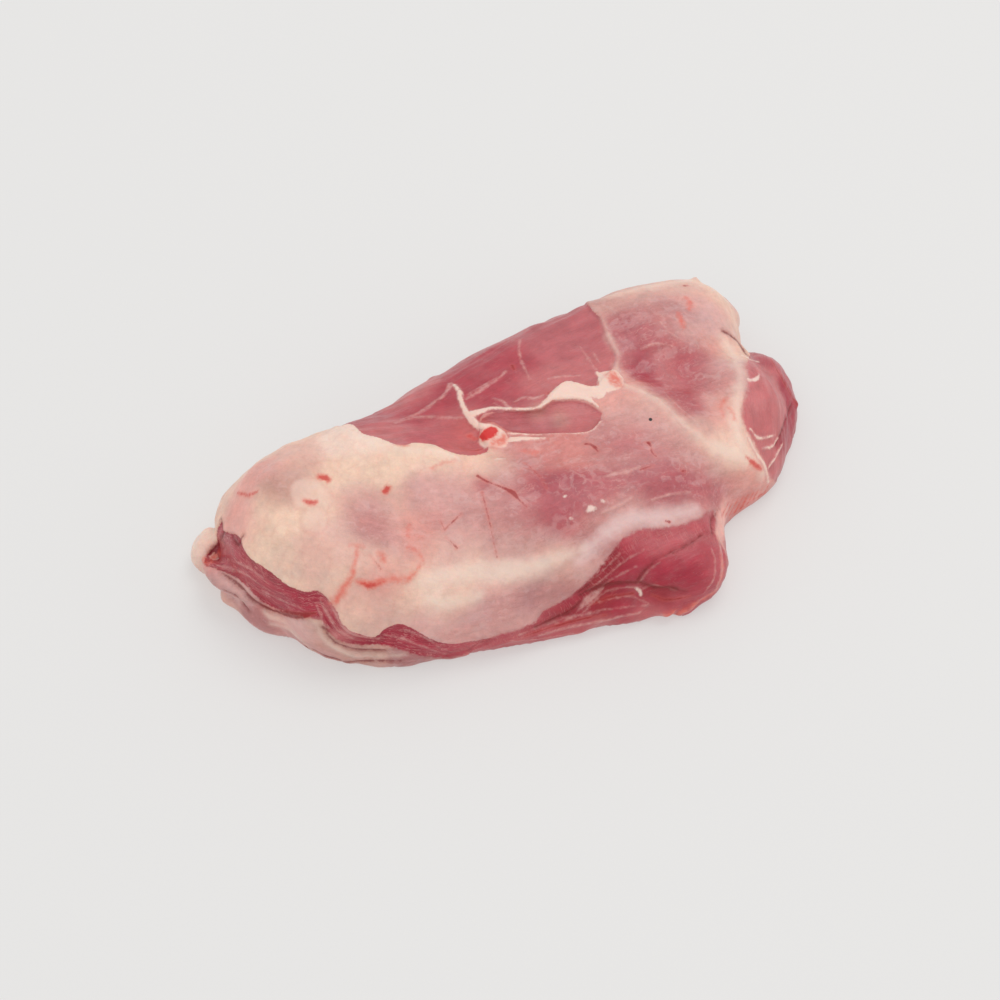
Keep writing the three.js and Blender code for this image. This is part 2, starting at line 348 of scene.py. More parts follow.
SINEWS = marks(
    Mark.SINEW,
    ("standing strand", (0.8, 1.3, 1.3, 1.5, 1.9, 1.8, 1.5, 1.3, 0.8),
     ((454, 384), (459, 390), (461, 400), (465, 410), (472, 420), (480, 426), (490, 427), (501, 432),
      (507, 439))),
    ("upper sinew", (2.2, 1.6, 0.9, 0.8, 0.7, 0.8, 1.4),
     ((472, 413), (482, 410), (492, 407), (508, 408), (526, 409), (539, 407), (548, 400))),
    ("lower sinew", (0.6, 0.5, 0.4, 0.4, 0.4, 0.4),
     ((508, 434), (530, 435), (556, 435), (580, 434), (592, 431), (601, 422))),
    ("fat under it", (2.0, 1.4, 0.5), ((509, 440), (526, 439), (545, 438))),
    ("upper arc at the end", (0.4, 0.8, 0.5, 0.3), ((751, 429), (757, 437), (764, 438), (775, 435))),
    ("lower arc at the end", (0.4, 0.6, 0.4), ((763, 448), (771, 447), (778, 438))),
    ("strand below the arcs", (0.4, 0.7, 0.5), ((769, 468), (776, 456), (782, 444))),
    ("edge beside the arcs", (0.5, 0.8, 0.9, 0.7), ((748, 438), (755, 452), (764, 466), (768, 482))),
)

VEILS = marks(
    Mark.VEIL,
    ("membrane ridge", (1.3, 1.1, 0.9, 0.7, 0.5),
     ((450, 383), (445, 392), (436, 400), (420, 411), (398, 420))),
    ("membrane fold left", (0.5, 0.7, 0.5), ((396, 421), (420, 416), (462, 417))),
    ("wide fold by the strand", (0.6, 1.0, 0.8, 0.5), ((466, 398), (480, 389), (497, 378), (506, 370))),
    ("second fold by the strand", (0.4, 0.6, 0.4), ((468, 394), (484, 384), (502, 374))),
    ("short fold on the sinew", (0.5, 0.8, 0.6), ((493, 397), (502, 400), (509, 406))),
    ("its pair", (0.4, 0.5), ((494, 402), (504, 407))),
    ("wisp above the sinew", (0.4, 0.9, 0.7, 0.5), ((514, 400), (524, 396), (534, 397), (544, 394))),
    ("fold across the flank", (0.4, 0.6, 0.6, 0.4), ((520, 338), (519, 350), (523, 364), (530, 378))),
    ("thread above the sinew", (0.4, 0.7, 0.4), ((548, 378), (562, 375), (580, 374))),
    ("thread near the membrane", (0.3, 0.5, 0.3), ((580, 345), (588, 357), (596, 368))),
    ("second thread there", (0.3, 0.4), ((592, 350), (600, 362))),
    # Painted highlight: a broken pale streak of light along the long muscle, drawn as a membrane.
    ("streak on the long muscle", (0.5, 1.2, 1.2, 0.5), ((604, 477), (616, 474), (628, 472), (640, 467))),
    ("film streak", (0.5, 0.9, 0.8, 0.5), ((602, 513), (614, 508), (624, 503), (632, 498))),
    ("second film streak", (0.4, 0.6, 0.4), ((652, 500), (672, 494), (690, 492))),
    ("thread over the crease", (0.4, 0.6, 0.4), ((584, 612), (594, 601), (606, 592))),
    ("thread in the hollow", (0.4, 0.6, 0.4), ((642, 349), (655, 344), (672, 346))),
    ("second thread in the hollow", (0.3, 0.5, 0.3), ((660, 322), (672, 334), (690, 344))),
    ("thread along the seam", (0.3, 0.5, 0.3), ((640, 388), (664, 406), (684, 428))),
    ("thread beside the seam", (0.3, 0.5, 0.3), ((664, 392), (682, 410), (700, 424))),
    ("thread down the neck", (0.3, 0.5, 0.3), ((706, 338), (718, 350), (734, 360))),
    ("fibre left of the band", (0.4, 0.7, 0.6, 0.4), ((218, 564), (230, 569), (246, 576), (258, 584))),
    ("fibre above it", (0.4, 0.6, 0.4), ((226, 560), (244, 566), (262, 578))),
    ("fibre in the band", (0.4, 0.6, 0.4), ((262, 592), (280, 601), (300, 609))),
    ("fold of the band", (0.5, 0.8, 0.9, 0.7, 0.4),
     ((328, 599), (335, 612), (341, 624), (353, 635), (378, 640))),
    ("second fold of the band", (0.4, 0.7, 0.6, 0.4), ((320, 600), (328, 616), (338, 632), (352, 640))),
    ("third fold of the band", (0.3, 0.5, 0.4), ((316, 606), (324, 624), (336, 638))),
    ("fibre under the fat", (0.3, 0.5, 0.4, 0.3), ((384, 636), (404, 640), (424, 648), (446, 655))),
    ("second fibre under the fat", (0.3, 0.5, 0.3), ((404, 630), (424, 638), (440, 648))),
    ("pale line on the front lip", (0.5, 0.8, 0.8, 0.5), ((540, 636), (570, 628), (600, 622), (640, 614))),
    ("line above it", (0.3, 0.5, 0.3), ((520, 636), (560, 620), (600, 612))),
    ("pale tip of the flap", (0.6, 1.2, 0.6), ((662, 615), (667, 618), (674, 616))),
    ("pale foot of the flap", (0.8, 1.0, 0.6), ((678, 612), (692, 606), (704, 598))),
    ("pale rim of the flap", (0.6, 1.2, 1.2, 0.8), ((718, 536), (722, 552), (722, 572), (717, 590))),
)

SEAMS = marks(
    Mark.SEAM,
    # Pale film with a bright streak along it; that streak is partly a painted highlight.
    ("silvery band", (1.4, 3.4, 4.0, 4.2, 4.2, 3.6, 2.4, 1.2),
     ((420, 583), (446, 575), (472, 572), (498, 571), (524, 568), (546, 562), (564, 556), (584, 550))),
    ("fat seam", (1.2, 1.0, 0.9, 0.9, 1.2, 2.4, 4.2, 3.6),
     ((624, 384), (640, 391), (657, 400), (675, 415), (690, 430), (707, 442), (727, 452), (748, 458))),
    ("band beside the end", (1.8, 2.2, 2.2, 2.2, 2.6, 3.0, 2.6, 2.0),
     ((722, 338), (733, 356), (740, 376), (738, 398), (735, 416), (738, 436), (747, 454), (763, 474))),
    ("rim of the cap", (1.0, 1.6, 1.4, 1.4, 1.0),
     ((346, 430), (374, 444), (402, 450), (430, 450), (458, 459))),
    ("film beside the flank", (0.2, 0.6, 0.7, 0.6), ((602, 318), (609, 336), (617, 354), (617, 370))),
    ("rim of the neck lobe", (1.2, 1.8, 2.4, 2.6, 2.4, 2.2, 1.4),
     ((606, 298), (640, 289), (668, 284), (695, 282), (718, 292), (735, 308), (740, 324))),
    ("bent fat of the lower layer", (0.5, 1.1, 1.1, 0.9, 0.5),
     ((316, 622), (326, 640), (345, 652), (372, 656), (404, 654))),
    ("knob of the lower layer", (1.2, 2.0, 1.4), ((266, 611), (273, 616), (283, 621))),
    ("edge of the lower fat", (0.6, 1.2, 1.0, 0.6), ((272, 624), (285, 627), (298, 637), (312, 650))),
    ("film below the band", (1.6, 3.0, 3.0, 1.8), ((428, 600), (446, 604), (462, 600), (480, 596))),
) + marks(
    Mark.SILVER,
    ("film over the front", (0.8, 1.2, 2.2, 2.8, 2.6, 2.0, 1.0),
     ((578, 562), (592, 547), (608, 531), (628, 520), (650, 517), (672, 515), (696, 509))),
)

BLOOD_AND_GAP_SHADE = marks(
    Mark.BLOOD,
    ("drop in the cap", (1.4, 2.0, 1.2), ((320, 477), (325, 478), (328, 481))),
    ("drop in the net", (0.5, 1.3, 0.9, 0.3), ((362, 583), (368, 586), (374, 585), (384, 582))),
    ("dash in the cap", (0.8, 1.4, 0.8), ((304, 501), (310, 503), (316, 502))),
    ("spot in the cap", (1.6, 1.6), ((385, 491), (387, 489))),
    ("thin line at the edge", (0.5, 0.8, 1.0, 0.5), ((238, 493), (243, 494), (249, 495), (257, 492))),
    ("mark beside the end", (0.5, 1.4, 1.1), ((746, 457), (753, 463), (760, 469))),
    ("spot by the clot", (1.2, 0.8), ((470, 435), (474, 437))),
) + marks(
    Mark.STAIN,
    ("small spot", (0.8, 1.1, 0.7), ((409, 526), (409, 531), (408, 535))),
    ("upper dash of the net", (0.8, 1.3, 0.8), ((352, 545), (357, 546), (362, 546))),
    ("middle spot of the net", (1.3, 1.5, 0.9), ((380, 554), (383, 557), (384, 561))),
    ("long line of the net", (0.9, 1.3, 2.0, 1.7, 1.4, 1.8, 1.3),
     ((351, 580), (360, 582), (369, 584), (380, 582), (392, 579), (406, 579), (415, 573))),
    ("left line of the net", (2.0, 2.1, 1.6, 0.8, 0.7),
     ((333, 603), (340, 594), (350, 580), (354, 567), (357, 548))),
    ("right line of the net", (0.5, 0.6, 0.4, 0.7), ((416, 573), (422, 560), (417, 551), (408, 547))),
    ("mark under the sinew", (1.0, 1.8, 1.0), ((522, 451), (531, 452), (540, 452))),
    ("mark at the fat's edge", (0.6, 1.2, 0.6), ((396, 444), (402, 445), (408, 446))),
    ("upper mark of the lobe", (1.0, 1.5, 1.0), ((687, 297), (690, 303), (689, 309))),
    ("lower mark of the lobe", (1.2, 1.8, 1.2), ((679, 314), (681, 321), (683, 327))),
    ("left hook by the neck", (0.6, 1.0, 0.6), ((727, 398), (721, 406), (723, 416))),
    ("right hook by the neck", (0.5, 0.9, 0.5), ((728, 408), (733, 414), (734, 420))),
    ("spot at the sinew's end", (3.0, 4.0, 3.0), ((611, 376), (614, 380), (616, 385))),
    ("red tip by the nub", (1.4, 2.0, 1.4, 0.8), ((204, 560), (209, 562), (214, 558), (220, 552))),
    ("ooze right of the clot", (2.4, 3.0, 2.6, 1.6), ((494, 446), (499, 443), (503, 441), (503, 436))),
    ("smear in the film", (0.3, 0.6, 0.3), ((432, 468), (444, 463), (456, 461))),
) + marks(
    Mark.VEIN_AND_SHADE,
    # Painted shadow: dark red in the gap between the band and the lower layer.
    ("red gap under the band", (0.4, 1.0, 1.9, 1.7, 0.5),
     ((262, 605), (276, 611), (290, 615), (302, 616), (314, 614))),
)

VESSELS_AND_SHADE = marks(
    Mark.VEIN_AND_SHADE,
    ("vessel in the film", (0.9, 0.6, 0.5, 0.9, 1.3, 0.5, 0.3),
     ((478, 476), (486, 481), (499, 486), (506, 489), (513, 493), (519, 500), (527, 507))),
    ("bent thread", (0.25, 0.35), ((461, 514), (444, 530))),
    ("crossing thread", (0.25, 0.3), ((440, 520), (444, 529))),
    ("thread with a dot", (0.25, 0.3, 0.6), ((446, 537), (452, 543), (457, 548))),
    ("curved thread", (0.2, 0.3, 0.2), ((523, 462), (537, 473), (547, 489))),
    ("edge of the film", (0.2, 0.3, 0.25, 0.35), ((482, 492), (489, 520), (494, 543), (497, 557))),
    ("thread in the net", (0.2, 0.3), ((370, 555), (381, 569))),
    ("dash under the sinew", (0.4, 0.7, 1.0, 0.4), ((584, 444), (590, 444), (595, 447), (598, 451))),
    ("spot right of it", (0.9, 0.5, 0.6, 0.3), ((648, 443), (651, 447), (652, 452), (656, 456))),
    ("dash on the long muscle", (0.3, 0.4, 0.3), ((640, 470), (648, 467), (654, 465))),
    ("dot beside it", (0.6, 0.4), ((682, 471), (685, 471))),
    ("dash on the rim", (0.7, 0.5), ((684, 286), (688, 286))),
    ("spot on the film", (0.6, 0.8), ((666, 521), (669, 522))),
    # Painted shade: two dark nicks for depth in the flank, and a dark line where the fat's lip meets it.
    ("nick in the flank", (0.8, 0.6), ((512, 364), (514, 368))),
    ("nick at the broad sinew", (0.7, 0.5), ((548, 391), (550, 393))),
    ("dark line in the flank", (0.3, 0.5, 0.3), ((462, 446), (474, 449), (490, 445))),
)

# Creases, folds, notches and gaps. Their dark colour is painted shade, over a shallow groove in the skin.
FOLDS = marks(
    Mark.CREASE,
    ("crease of the front", (0.5, 1.0, 1.1, 0.9, 0.8),
     ((580, 596), (592, 590), (606, 586), (624, 584), (640, 583))),
    ("its end", (0.8, 1.0, 0.8, 0.4), ((640, 583), (654, 588), (669, 589), (686, 593))),
    ("fold of the flap", (0.7, 0.4, 0.3, 0.4, 0.3),
     ((638, 580), (650, 566), (668, 554), (690, 543), (708, 531))),
    ("fold of the lip", (0.4, 0.8, 0.8, 0.4), ((536, 628), (552, 620), (570, 612), (580, 602))),
    ("upper fold of the lip", (0.2, 0.4, 0.4), ((598, 576), (589, 585), (578, 594))),
    ("notch of the neck", (0.5, 1.2, 1.4, 0.8), ((722, 331), (730, 335), (738, 342), (746, 354))),
    ("gap behind the nub", (0.6, 1.1, 0.9, 0.6), ((221, 519), (222, 531), (217, 543), (210, 553))),
    ("gap above the lower layer", (0.5, 0.9, 1.0, 0.9, 0.5),
     ((222, 573), (238, 584), (256, 601), (280, 613), (302, 618))),
    ("its right part", (0.5, 0.8, 0.8, 0.5), ((323, 626), (335, 642), (360, 649), (385, 650))),
    ("hollow at the nub", (0.5, 0.9, 0.5), ((231, 536), (237, 544), (243, 536))),
    ("dark rim of the end", (0.4, 0.7, 0.5), ((792, 404), (785, 424), (776, 445))),
    ("notch under the end", (0.4, 0.7, 0.4), ((719, 508), (713, 520), (713, 532))),
    ("fold of the lower layer", (0.4, 0.7, 0.5), ((224, 590), (236, 596), (248, 610))),
    ("low fold of the lower layer", (0.4, 0.8, 0.8, 0.6), ((306, 646), (320, 655), (344, 661), (400, 661))),
) + marks(
    Mark.VEIN_AND_SHADE,
    # Painted shade: a dark line along the upper rim of the trimmed end.
    ("dark upper rim of the end", (0.3, 0.7, 0.9, 0.6), ((770, 357), (781, 375), (792, 395), (796, 406))),
)

FLECKS = marks(
    Mark.SPECK,
    ("small fleck", (0.6, 0.4), ((602, 501), (604, 502))),
    ("left fleck", (0.4, 0.2), ((564, 497), (566, 496))),
    ("low fleck", (0.4, 0.2), ((570, 518), (572, 519))),
    ("fleck in the oval", (0.5, 0.8, 0.4), ((495, 460), (500, 459), (505, 459))),
    ("gristle on the end", (0.6, 1.1, 1.1, 0.6), ((748, 379), (752, 380), (757, 378), (759, 374))),
    ("gristle in the crease", (0.9, 0.8, 0.6), ((637, 589), (640, 592), (641, 596))),
    ("fat at the neck's notch", (0.7, 0.9, 0.6), ((742, 356), (748, 359), (758, 361))),
)


def stripes(start: Pixel, end: Pixel, lean: Pixel) -> tuple[Stroke, ...]:
    """Lays short red stripes side by side, as cut meat shows on the thin edge below the trimmed end.

    Args:
        start: Pixel at which the first stripe begins.
        end: Pixel at which the last stripe begins.
        lean: Pixels from the beginning of a stripe to its end.

    Returns:
        The stripes.
    """
    count = 9
    unevenness = 0.3
    laid = []
    for index in range(count):
        share = index / (count - 1)
        x = start[0] + (end[0] - start[0]) * share
        y = start[1] + (end[1] - start[1]) * share
        reach = 1 + unevenness * math.sin(7 * index)
        line = ((x, y), (x + lean[0] * reach, y + lean[1] * reach))
        laid.append(Stroke(f"stripe {index + 1}", Mark.BLOOD, (0.3, 0.8), line))
    return tuple(laid)


FRONT_STRINGS_AND_SHADE = marks(
    Mark.VEIL,
    ("long string", (0.15, 0.25, 0.25, 0.15), ((588, 592), (606, 577), (624, 562), (644, 550))),
    ("string beside it", (0.15, 0.25, 0.19), ((594, 594), (614, 579), (636, 567))),
    ("string at the film", (0.15, 0.19, 0.15), ((596, 578), (608, 566), (620, 554))),
    ("string over the crease", (0.19, 0.25, 0.31, 0.25), ((586, 599), (606, 592), (626, 588), (640, 588))),
    ("string under the crease", (0.15, 0.25, 0.25, 0.15), ((600, 602), (618, 598), (634, 598), (648, 604))),
    ("string from the knot", (0.25, 0.19, 0.15), ((638, 584), (648, 572), (660, 562))),
    ("fork from the knot", (0.25, 0.19, 0.15), ((642, 590), (656, 586), (676, 592))),
    ("low string", (0.19, 0.31, 0.25, 0.19), ((556, 624), (588, 613), (622, 608), (650, 606))),
    ("lowest string", (0.15, 0.25, 0.25, 0.15), ((510, 642), (540, 640), (572, 634), (604, 626))),
    ("rim string of the flap", (0.19, 0.31, 0.25, 0.19), ((712, 548), (716, 562), (714, 580), (704, 594))),
) + marks(
    Mark.STAIN,
    ("red rim of the flap", (0.8, 1.5, 1.6, 1.4, 1.5, 1.6),
     ((722, 556), (724, 572), (718, 590), (704, 600), (686, 608), (668, 616))),
) + marks(
    Mark.VEIN_AND_SHADE,
    # Painted shade: dark lines beside the fold of the lip and the creases of the front.
    ("dark line of the lip", (0.3, 0.6, 0.6, 0.3), ((524, 638), (552, 628), (580, 620), (606, 616))),
    ("dark line by the crease", (0.4, 0.7, 0.4), ((590, 604), (610, 598), (634, 594))),
    ("second dark line", (0.3, 0.6, 0.6, 0.3), ((652, 596), (664, 600), (676, 600), (690, 597))),
)

FAR_SIDE = (
    Stroke("seam along the far side", Mark.SEAM, (0.4, 1.2, 1.6, 1.2, 0.5),
        hidden_mm=((-60, 74, 14), (-30, 82, 16), (0, 88, 12), (30, 90, 8), (60, 92, 10))),
    Stroke("edge of the fat, far side", Mark.SEAM, (1.0, 2.4, 3.0, 1.6),
        hidden_mm=((-74, 70, 34), (-66, 74, 20), (-58, 76, 8), (-52, 76, 2))),
    Stroke("edge of the film, far side", Mark.SILVER, (1.6, 2.6, 2.6, 1.4),
        hidden_mm=((76, 92, 40), (84, 92, 26), (82, 92, 12), (70, 92, 3))),
    Stroke("upper membrane, far side", Mark.VEIL, (0.3, 0.8, 0.6, 0.3),
        hidden_mm=((-40, 76, 34), (-10, 84, 28), (20, 88, 30), (50, 90, 36))),
    Stroke("middle membrane, far side", Mark.VEIL, (0.3, 0.6, 0.6, 0.3),
        hidden_mm=((-54, 76, 24), (-30, 80, 26), (-6, 86, 20), (10, 88, 22))),
    Stroke("low membrane, far side", Mark.VEIL, (0.3, 0.7, 0.5, 0.3),
        hidden_mm=((10, 88, 16), (34, 90, 18), (56, 91, 16), (78, 92, 22))),
    Stroke("short vessel, far side", Mark.VEIN_AND_SHADE, (0.3, 0.6, 0.3),
        hidden_mm=((96, 90, 30), (104, 90, 26), (112, 90, 27))),
    Stroke("drop on the far side", Mark.BLOOD, (1.0, 1.5, 0.8),
        hidden_mm=((-96, 70, 26), (-92, 70, 24), (-88, 72, 23))),
    Stroke("stain on the far side", Mark.STAIN, (1.0, 2.2, 1.4),
        hidden_mm=((-120, 62, 18), (-112, 64, 14), (-104, 66, 15))),
    # Painted shade along a crease of the far side.
    Stroke("crease, far side", Mark.CREASE, (0.3, 0.7, 0.7, 0.3),
        hidden_mm=((64, 91, 6), (80, 92, 10), (92, 92, 8), (108, 91, 10))),
)

END_STRIPES = stripes((728, 504), (768, 486), (-6, 12))
STROKES = (
    FRONT_STRINGS_AND_SHADE + FAR_SIDE + SINEWS + VEILS + SEAMS + BLOOD_AND_GAP_SHADE + VESSELS_AND_SHADE + FOLDS + FLECKS + END_STRIPES
)

COVER_WASHES = (
    Wash("top of the fat cap", Tone.IVORY, ((340, 440), (372, 446), (356, 434))),
    Wash("thick fat", Tone.BUTTER,
        seen=((345, 472), (385, 470), (410, 460), (318, 512), (372, 462), (300, 488), (436, 460))),
    Wash("far slope of the cap", Tone.SAND, ((300, 455), (285, 466), (355, 497), (320, 540), (392, 508))),
    Wash("warm left edge", Tone.PEACH, ((238, 500), (250, 525), (243, 512))),
    Wash("pale fat inside it", Tone.BUTTER,
        seen=((262, 506), (266, 522), (256, 536), (288, 520), (272, 536), (282, 552))),
    Wash("rosy left edge", Tone.BLUSH, ((232, 512), (246, 486), (270, 470))),
    Wash("shade in the fat", Tone.TAN, ((283, 484), (276, 491), (292, 481))),
    Wash("lilac patch", Tone.DUSK, ((378, 520), (370, 514)), spread_mm=7),
    Wash("round the lilac patch", Tone.LILAC, ((362, 505), (384, 530), (360, 522)), spread_mm=7),
    Wash("pink cast", Tone.BLUSH, ((410, 518), (432, 530), (404, 540), (420, 548), (386, 582), (345, 600))),
    Wash("cloudy fat", Tone.SAND,
        seen=((300, 556), (322, 562), (312, 573), (340, 548), (360, 606), (398, 612), (374, 620),
              (372, 562), (399, 566), (334, 527))),
    Wash("pale lower edge of the cap", Tone.BUTTER,
        seen=((264, 546), (276, 560), (292, 575), (334, 584), (346, 612))),
    Wash("film right of the cap", Tone.SHELL, ((445, 490), (430, 500), (425, 482), (470, 530), (462, 482))),
    Wash("pale centre of the film", Tone.PALE, ((454, 540), (446, 538), (462, 548), (448, 560))),
    Wash("pink spot left of it", Tone.APRICOT, ((430, 529), (424, 536), (436, 522)), spread_mm=5),
    Wash("lilac film", Tone.LILAC, ((465, 502), (450, 520), (478, 512), (490, 508))),
    Wash("clear oval", Tone.CREAM, ((465, 466), (484, 461), (500, 461), (440, 545), (466, 556))),
    Wash("side of the oval", Tone.LILAC, ((510, 468), (520, 460), (500, 476))),
    Wash("dusky film", Tone.DUSK, ((500, 490), (508, 500), (520, 520), (512, 512))),
    Wash("lower film", Tone.SHELL, ((505, 543), (520, 548), (540, 543), (496, 552), (535, 552))),
    # Pale film, brightened in part as a painted highlight along the band.
    Wash("silvery band", Tone.IVORY,
        seen=((450, 575), (475, 574), (500, 571), (525, 569), (546, 562), (436, 600), (430, 588))),
    Wash("below the band", Tone.CREAM,
        seen=((460, 598), (425, 580), (410, 598), (446, 608), (468, 588), (560, 566), (572, 560))),
    Wash("pale film", Tone.PALE,
        seen=((482, 599), (450, 618), (425, 622), (575, 557), (600, 562), (566, 566), (524, 620))),
    Wash("grey film", Tone.LILAC, ((500, 604), (520, 596), (480, 620), (500, 614), (460, 622))),
    Wash("dark film", Tone.MAUVE, ((545, 592), (560, 585), (532, 596), (568, 578))),
    Wash("film's lower edge", Tone.SHELL, ((460, 634), (485, 630), (504, 626), (548, 602), (578, 574))),
    Wash("long muscle through the film", Tone.RED, spread_mm=7,
        seen=((540, 482), (560, 482), (580, 480), (600, 482), (620, 484), (640, 481), (660, 483),
              (680, 483), (552, 498), (578, 500), (560, 512), (558, 526), (680, 496), (655, 495),
              (665, 472))),
    Wash("its soft edge", Tone.FLESH,
        seen=((530, 472), (522, 500), (540, 522), (575, 530), (598, 500), (700, 480), (706, 502))),
    Wash("warm film above it", Tone.APRICOT, ((545, 460), (560, 447), (582, 460), (572, 440), (520, 450))),
    Wash("dusky film above it", Tone.DUSK,
        seen=((600, 458), (622, 462), (642, 460), (600, 440), (630, 500), (650, 430), (680, 441),
              (610, 428), (662, 450), (590, 530), (608, 540), (616, 544))),
    Wash("shades in the film", Tone.MAUVE, spread_mm=6,
        seen=((678, 508), (684, 505), (601, 534), (598, 538), (605, 530), (582, 552), (586, 548),
              (602, 302))),
    Wash("small red shades", Tone.BRICK, spread_mm=4,
        seen=((481, 483), (486, 486), (606, 488), (660, 393), (685, 413), (680, 408))),
    Wash("rosy membrane", Tone.ROSE,
        seen=((620, 443), (640, 445), (632, 436), (660, 466), (612, 330), (622, 350), (730, 484))),
    Wash("red under the right film", Tone.RED, spread_mm=6,
        seen=((716, 489), (700, 496), (652, 500), (672, 498), (704, 488))),
    Wash("right part of the film", Tone.LILAC, ((616, 506), (692, 515), (700, 462), (718, 468), (685, 452))),
    Wash("silvery film", Tone.PALE, ((642, 519), (660, 518), (624, 521), (612, 526), (675, 518))),
    Wash("its left edge", Tone.SHELL, ((600, 522), (590, 546), (640, 508), (705, 510))),
    Wash("membrane", Tone.SHELL, ((638, 418), (625, 425), (660, 425), (672, 438), (650, 410))),
    Wash("near the sinew's end", Tone.BLUSH, ((625, 386), (634, 393), (612, 400), (606, 406))),
    Wash("side of the fat seam", Tone.SAND, ((642, 393), (656, 402), (672, 412), (690, 430))),
    Wash("fat seam", Tone.CREAM, ((708, 440), (722, 448), (737, 432), (726, 456), (742, 462), (738, 350))),
    Wash("middle of the seam", Tone.IVORY, ((735, 446),)),
    Wash("right of its middle", Tone.SAND, ((745, 450),), spread_mm=6),
    Wash("left of its middle", Tone.LILAC, ((706, 429),), spread_mm=6),
    Wash("upper part of the seam", Tone.SAND, ((740, 420), (738, 404), (728, 350), (730, 326))),
    Wash("seam beside the end", Tone.BLUSH,
        seen=((755, 472), (745, 478), (764, 482), (735, 488), (720, 418), (718, 402))),
    Wash("hollow of the neck", Tone.BRICK, spread_mm=7,
        seen=((645, 362), (690, 370), (664, 392), (698, 388), (690, 400), (650, 336), (680, 404),
              (696, 378), (686, 360))),
    Wash("dark side of the hollow", Tone.CLARET, ((641, 356), (640, 372)), spread_mm=4),
    Wash("dark end of the hollow", Tone.RUBY, spread_mm=5,
        seen=((644, 380), (652, 388), (690, 394), (696, 406), (684, 364), (691, 366))),
    Wash("shine in the hollow", Tone.ROSE, ((666, 362), (672, 372), (678, 384), (660, 352)), spread_mm=6),
    Wash("side of the hollow", Tone.FLESH,
        seen=((680, 350), (700, 354), (640, 322), (632, 334), (668, 346), (625, 322))),
    Wash("right side of the hollow", Tone.DUSK,
        seen=((706, 372), (712, 384), (640, 310), (660, 325), (672, 302), (664, 314))),
    Wash("film of the upper lobe", Tone.LILAC,
        seen=((690, 320), (620, 302), (707, 404), (722, 382), (654, 300), (740, 374), (743, 382))),
    Wash("pale film of the lobe", Tone.PALE,
        seen=((700, 302), (714, 316), (702, 330), (722, 366), (686, 334), (722, 326))),
    Wash("pink film by the notch", Tone.BLUSH, ((712, 345), (704, 342), (690, 302)), spread_mm=5),
    Wash("rim of the lobe", Tone.SAND, ((690, 287), (668, 288), (648, 291), (634, 296), (606, 302))),
    Wash("right rim of the lobe", Tone.CREAM, ((712, 291), (724, 300), (733, 312), (738, 328))),
    Wash("nub", Tone.IVORY, ((205, 540), (199, 548), (212, 532), (194, 540), (198, 556)), spread_mm=5),
    Wash("foot of the nub", Tone.APRICOT, ((206, 560), (216, 566), (270, 612), (280, 618)), spread_mm=5),
    Wash("pink lower layer", Tone.PALE, ((216, 577), (228, 585), (240, 595), (222, 580)), spread_mm=6),
    Wash("shade under it", Tone.MAUVE, ((221, 591), (214, 587), (226, 593)), spread_mm=5),
    Wash("its folded part", Tone.DUSK, ((250, 604), (260, 612)), spread_mm=5),
    Wash("fat of the lower layer", Tone.PALE, ((290, 624), (308, 634)), spread_mm=6),
    Wash("shaded fat of the lower layer", Tone.TAN, spread_mm=6,
        seen=((318, 627), (322, 642), (350, 657), (372, 657))),
    Wash("end of the lower layer", Tone.MAUVE, spread_mm=5,
        seen=((400, 659), (420, 660), (440, 658), (250, 612), (265, 622))),
    Wash("fat nub in the notch", Tone.PEACH, ((720, 520), (724, 510), (716, 530)), spread_mm=4),
    Wash("striped meat in the notch", Tone.APRICOT, ((735, 500), (750, 495), (742, 506)), spread_mm=5),
    Wash("fat of the far side", Tone.CREAM, spread_mm=14,
        hidden_mm=((-110, 66, 30), (-140, 52, 34), (-90, 68, 44), (60, 90, 34))),
    Wash("thin fat of the far side", Tone.SAND, spread_mm=14,
        hidden_mm=((100, 92, 20), (130, 88, 20), (20, 88, 4), (-100, 66, 8), (-146, 30, 4), (-50, 72, 6))),
    Wash("film of the underside", Tone.LILAC, spread_mm=18,
        hidden_mm=((70, 91, 14), (-60, 40, 0), (60, 30, 0), (120, 60, 0), (156, 66, 12), (-120, -20, 0))),
    Wash("rosy underside", Tone.ROSE, spread_mm=20,
        hidden_mm=((-120, 20, 0), (0, 0, 0), (100, -10, 0), (0, 60, 0), (-40, -40, 0), (40, 80, 0))),
    Wash("muscle of the underside", Tone.FLESH, spread_mm=16,
        hidden_mm=((-80, -10, 0), (50, -40, 0), (130, 20, 0), (10, 30, 0))),
)

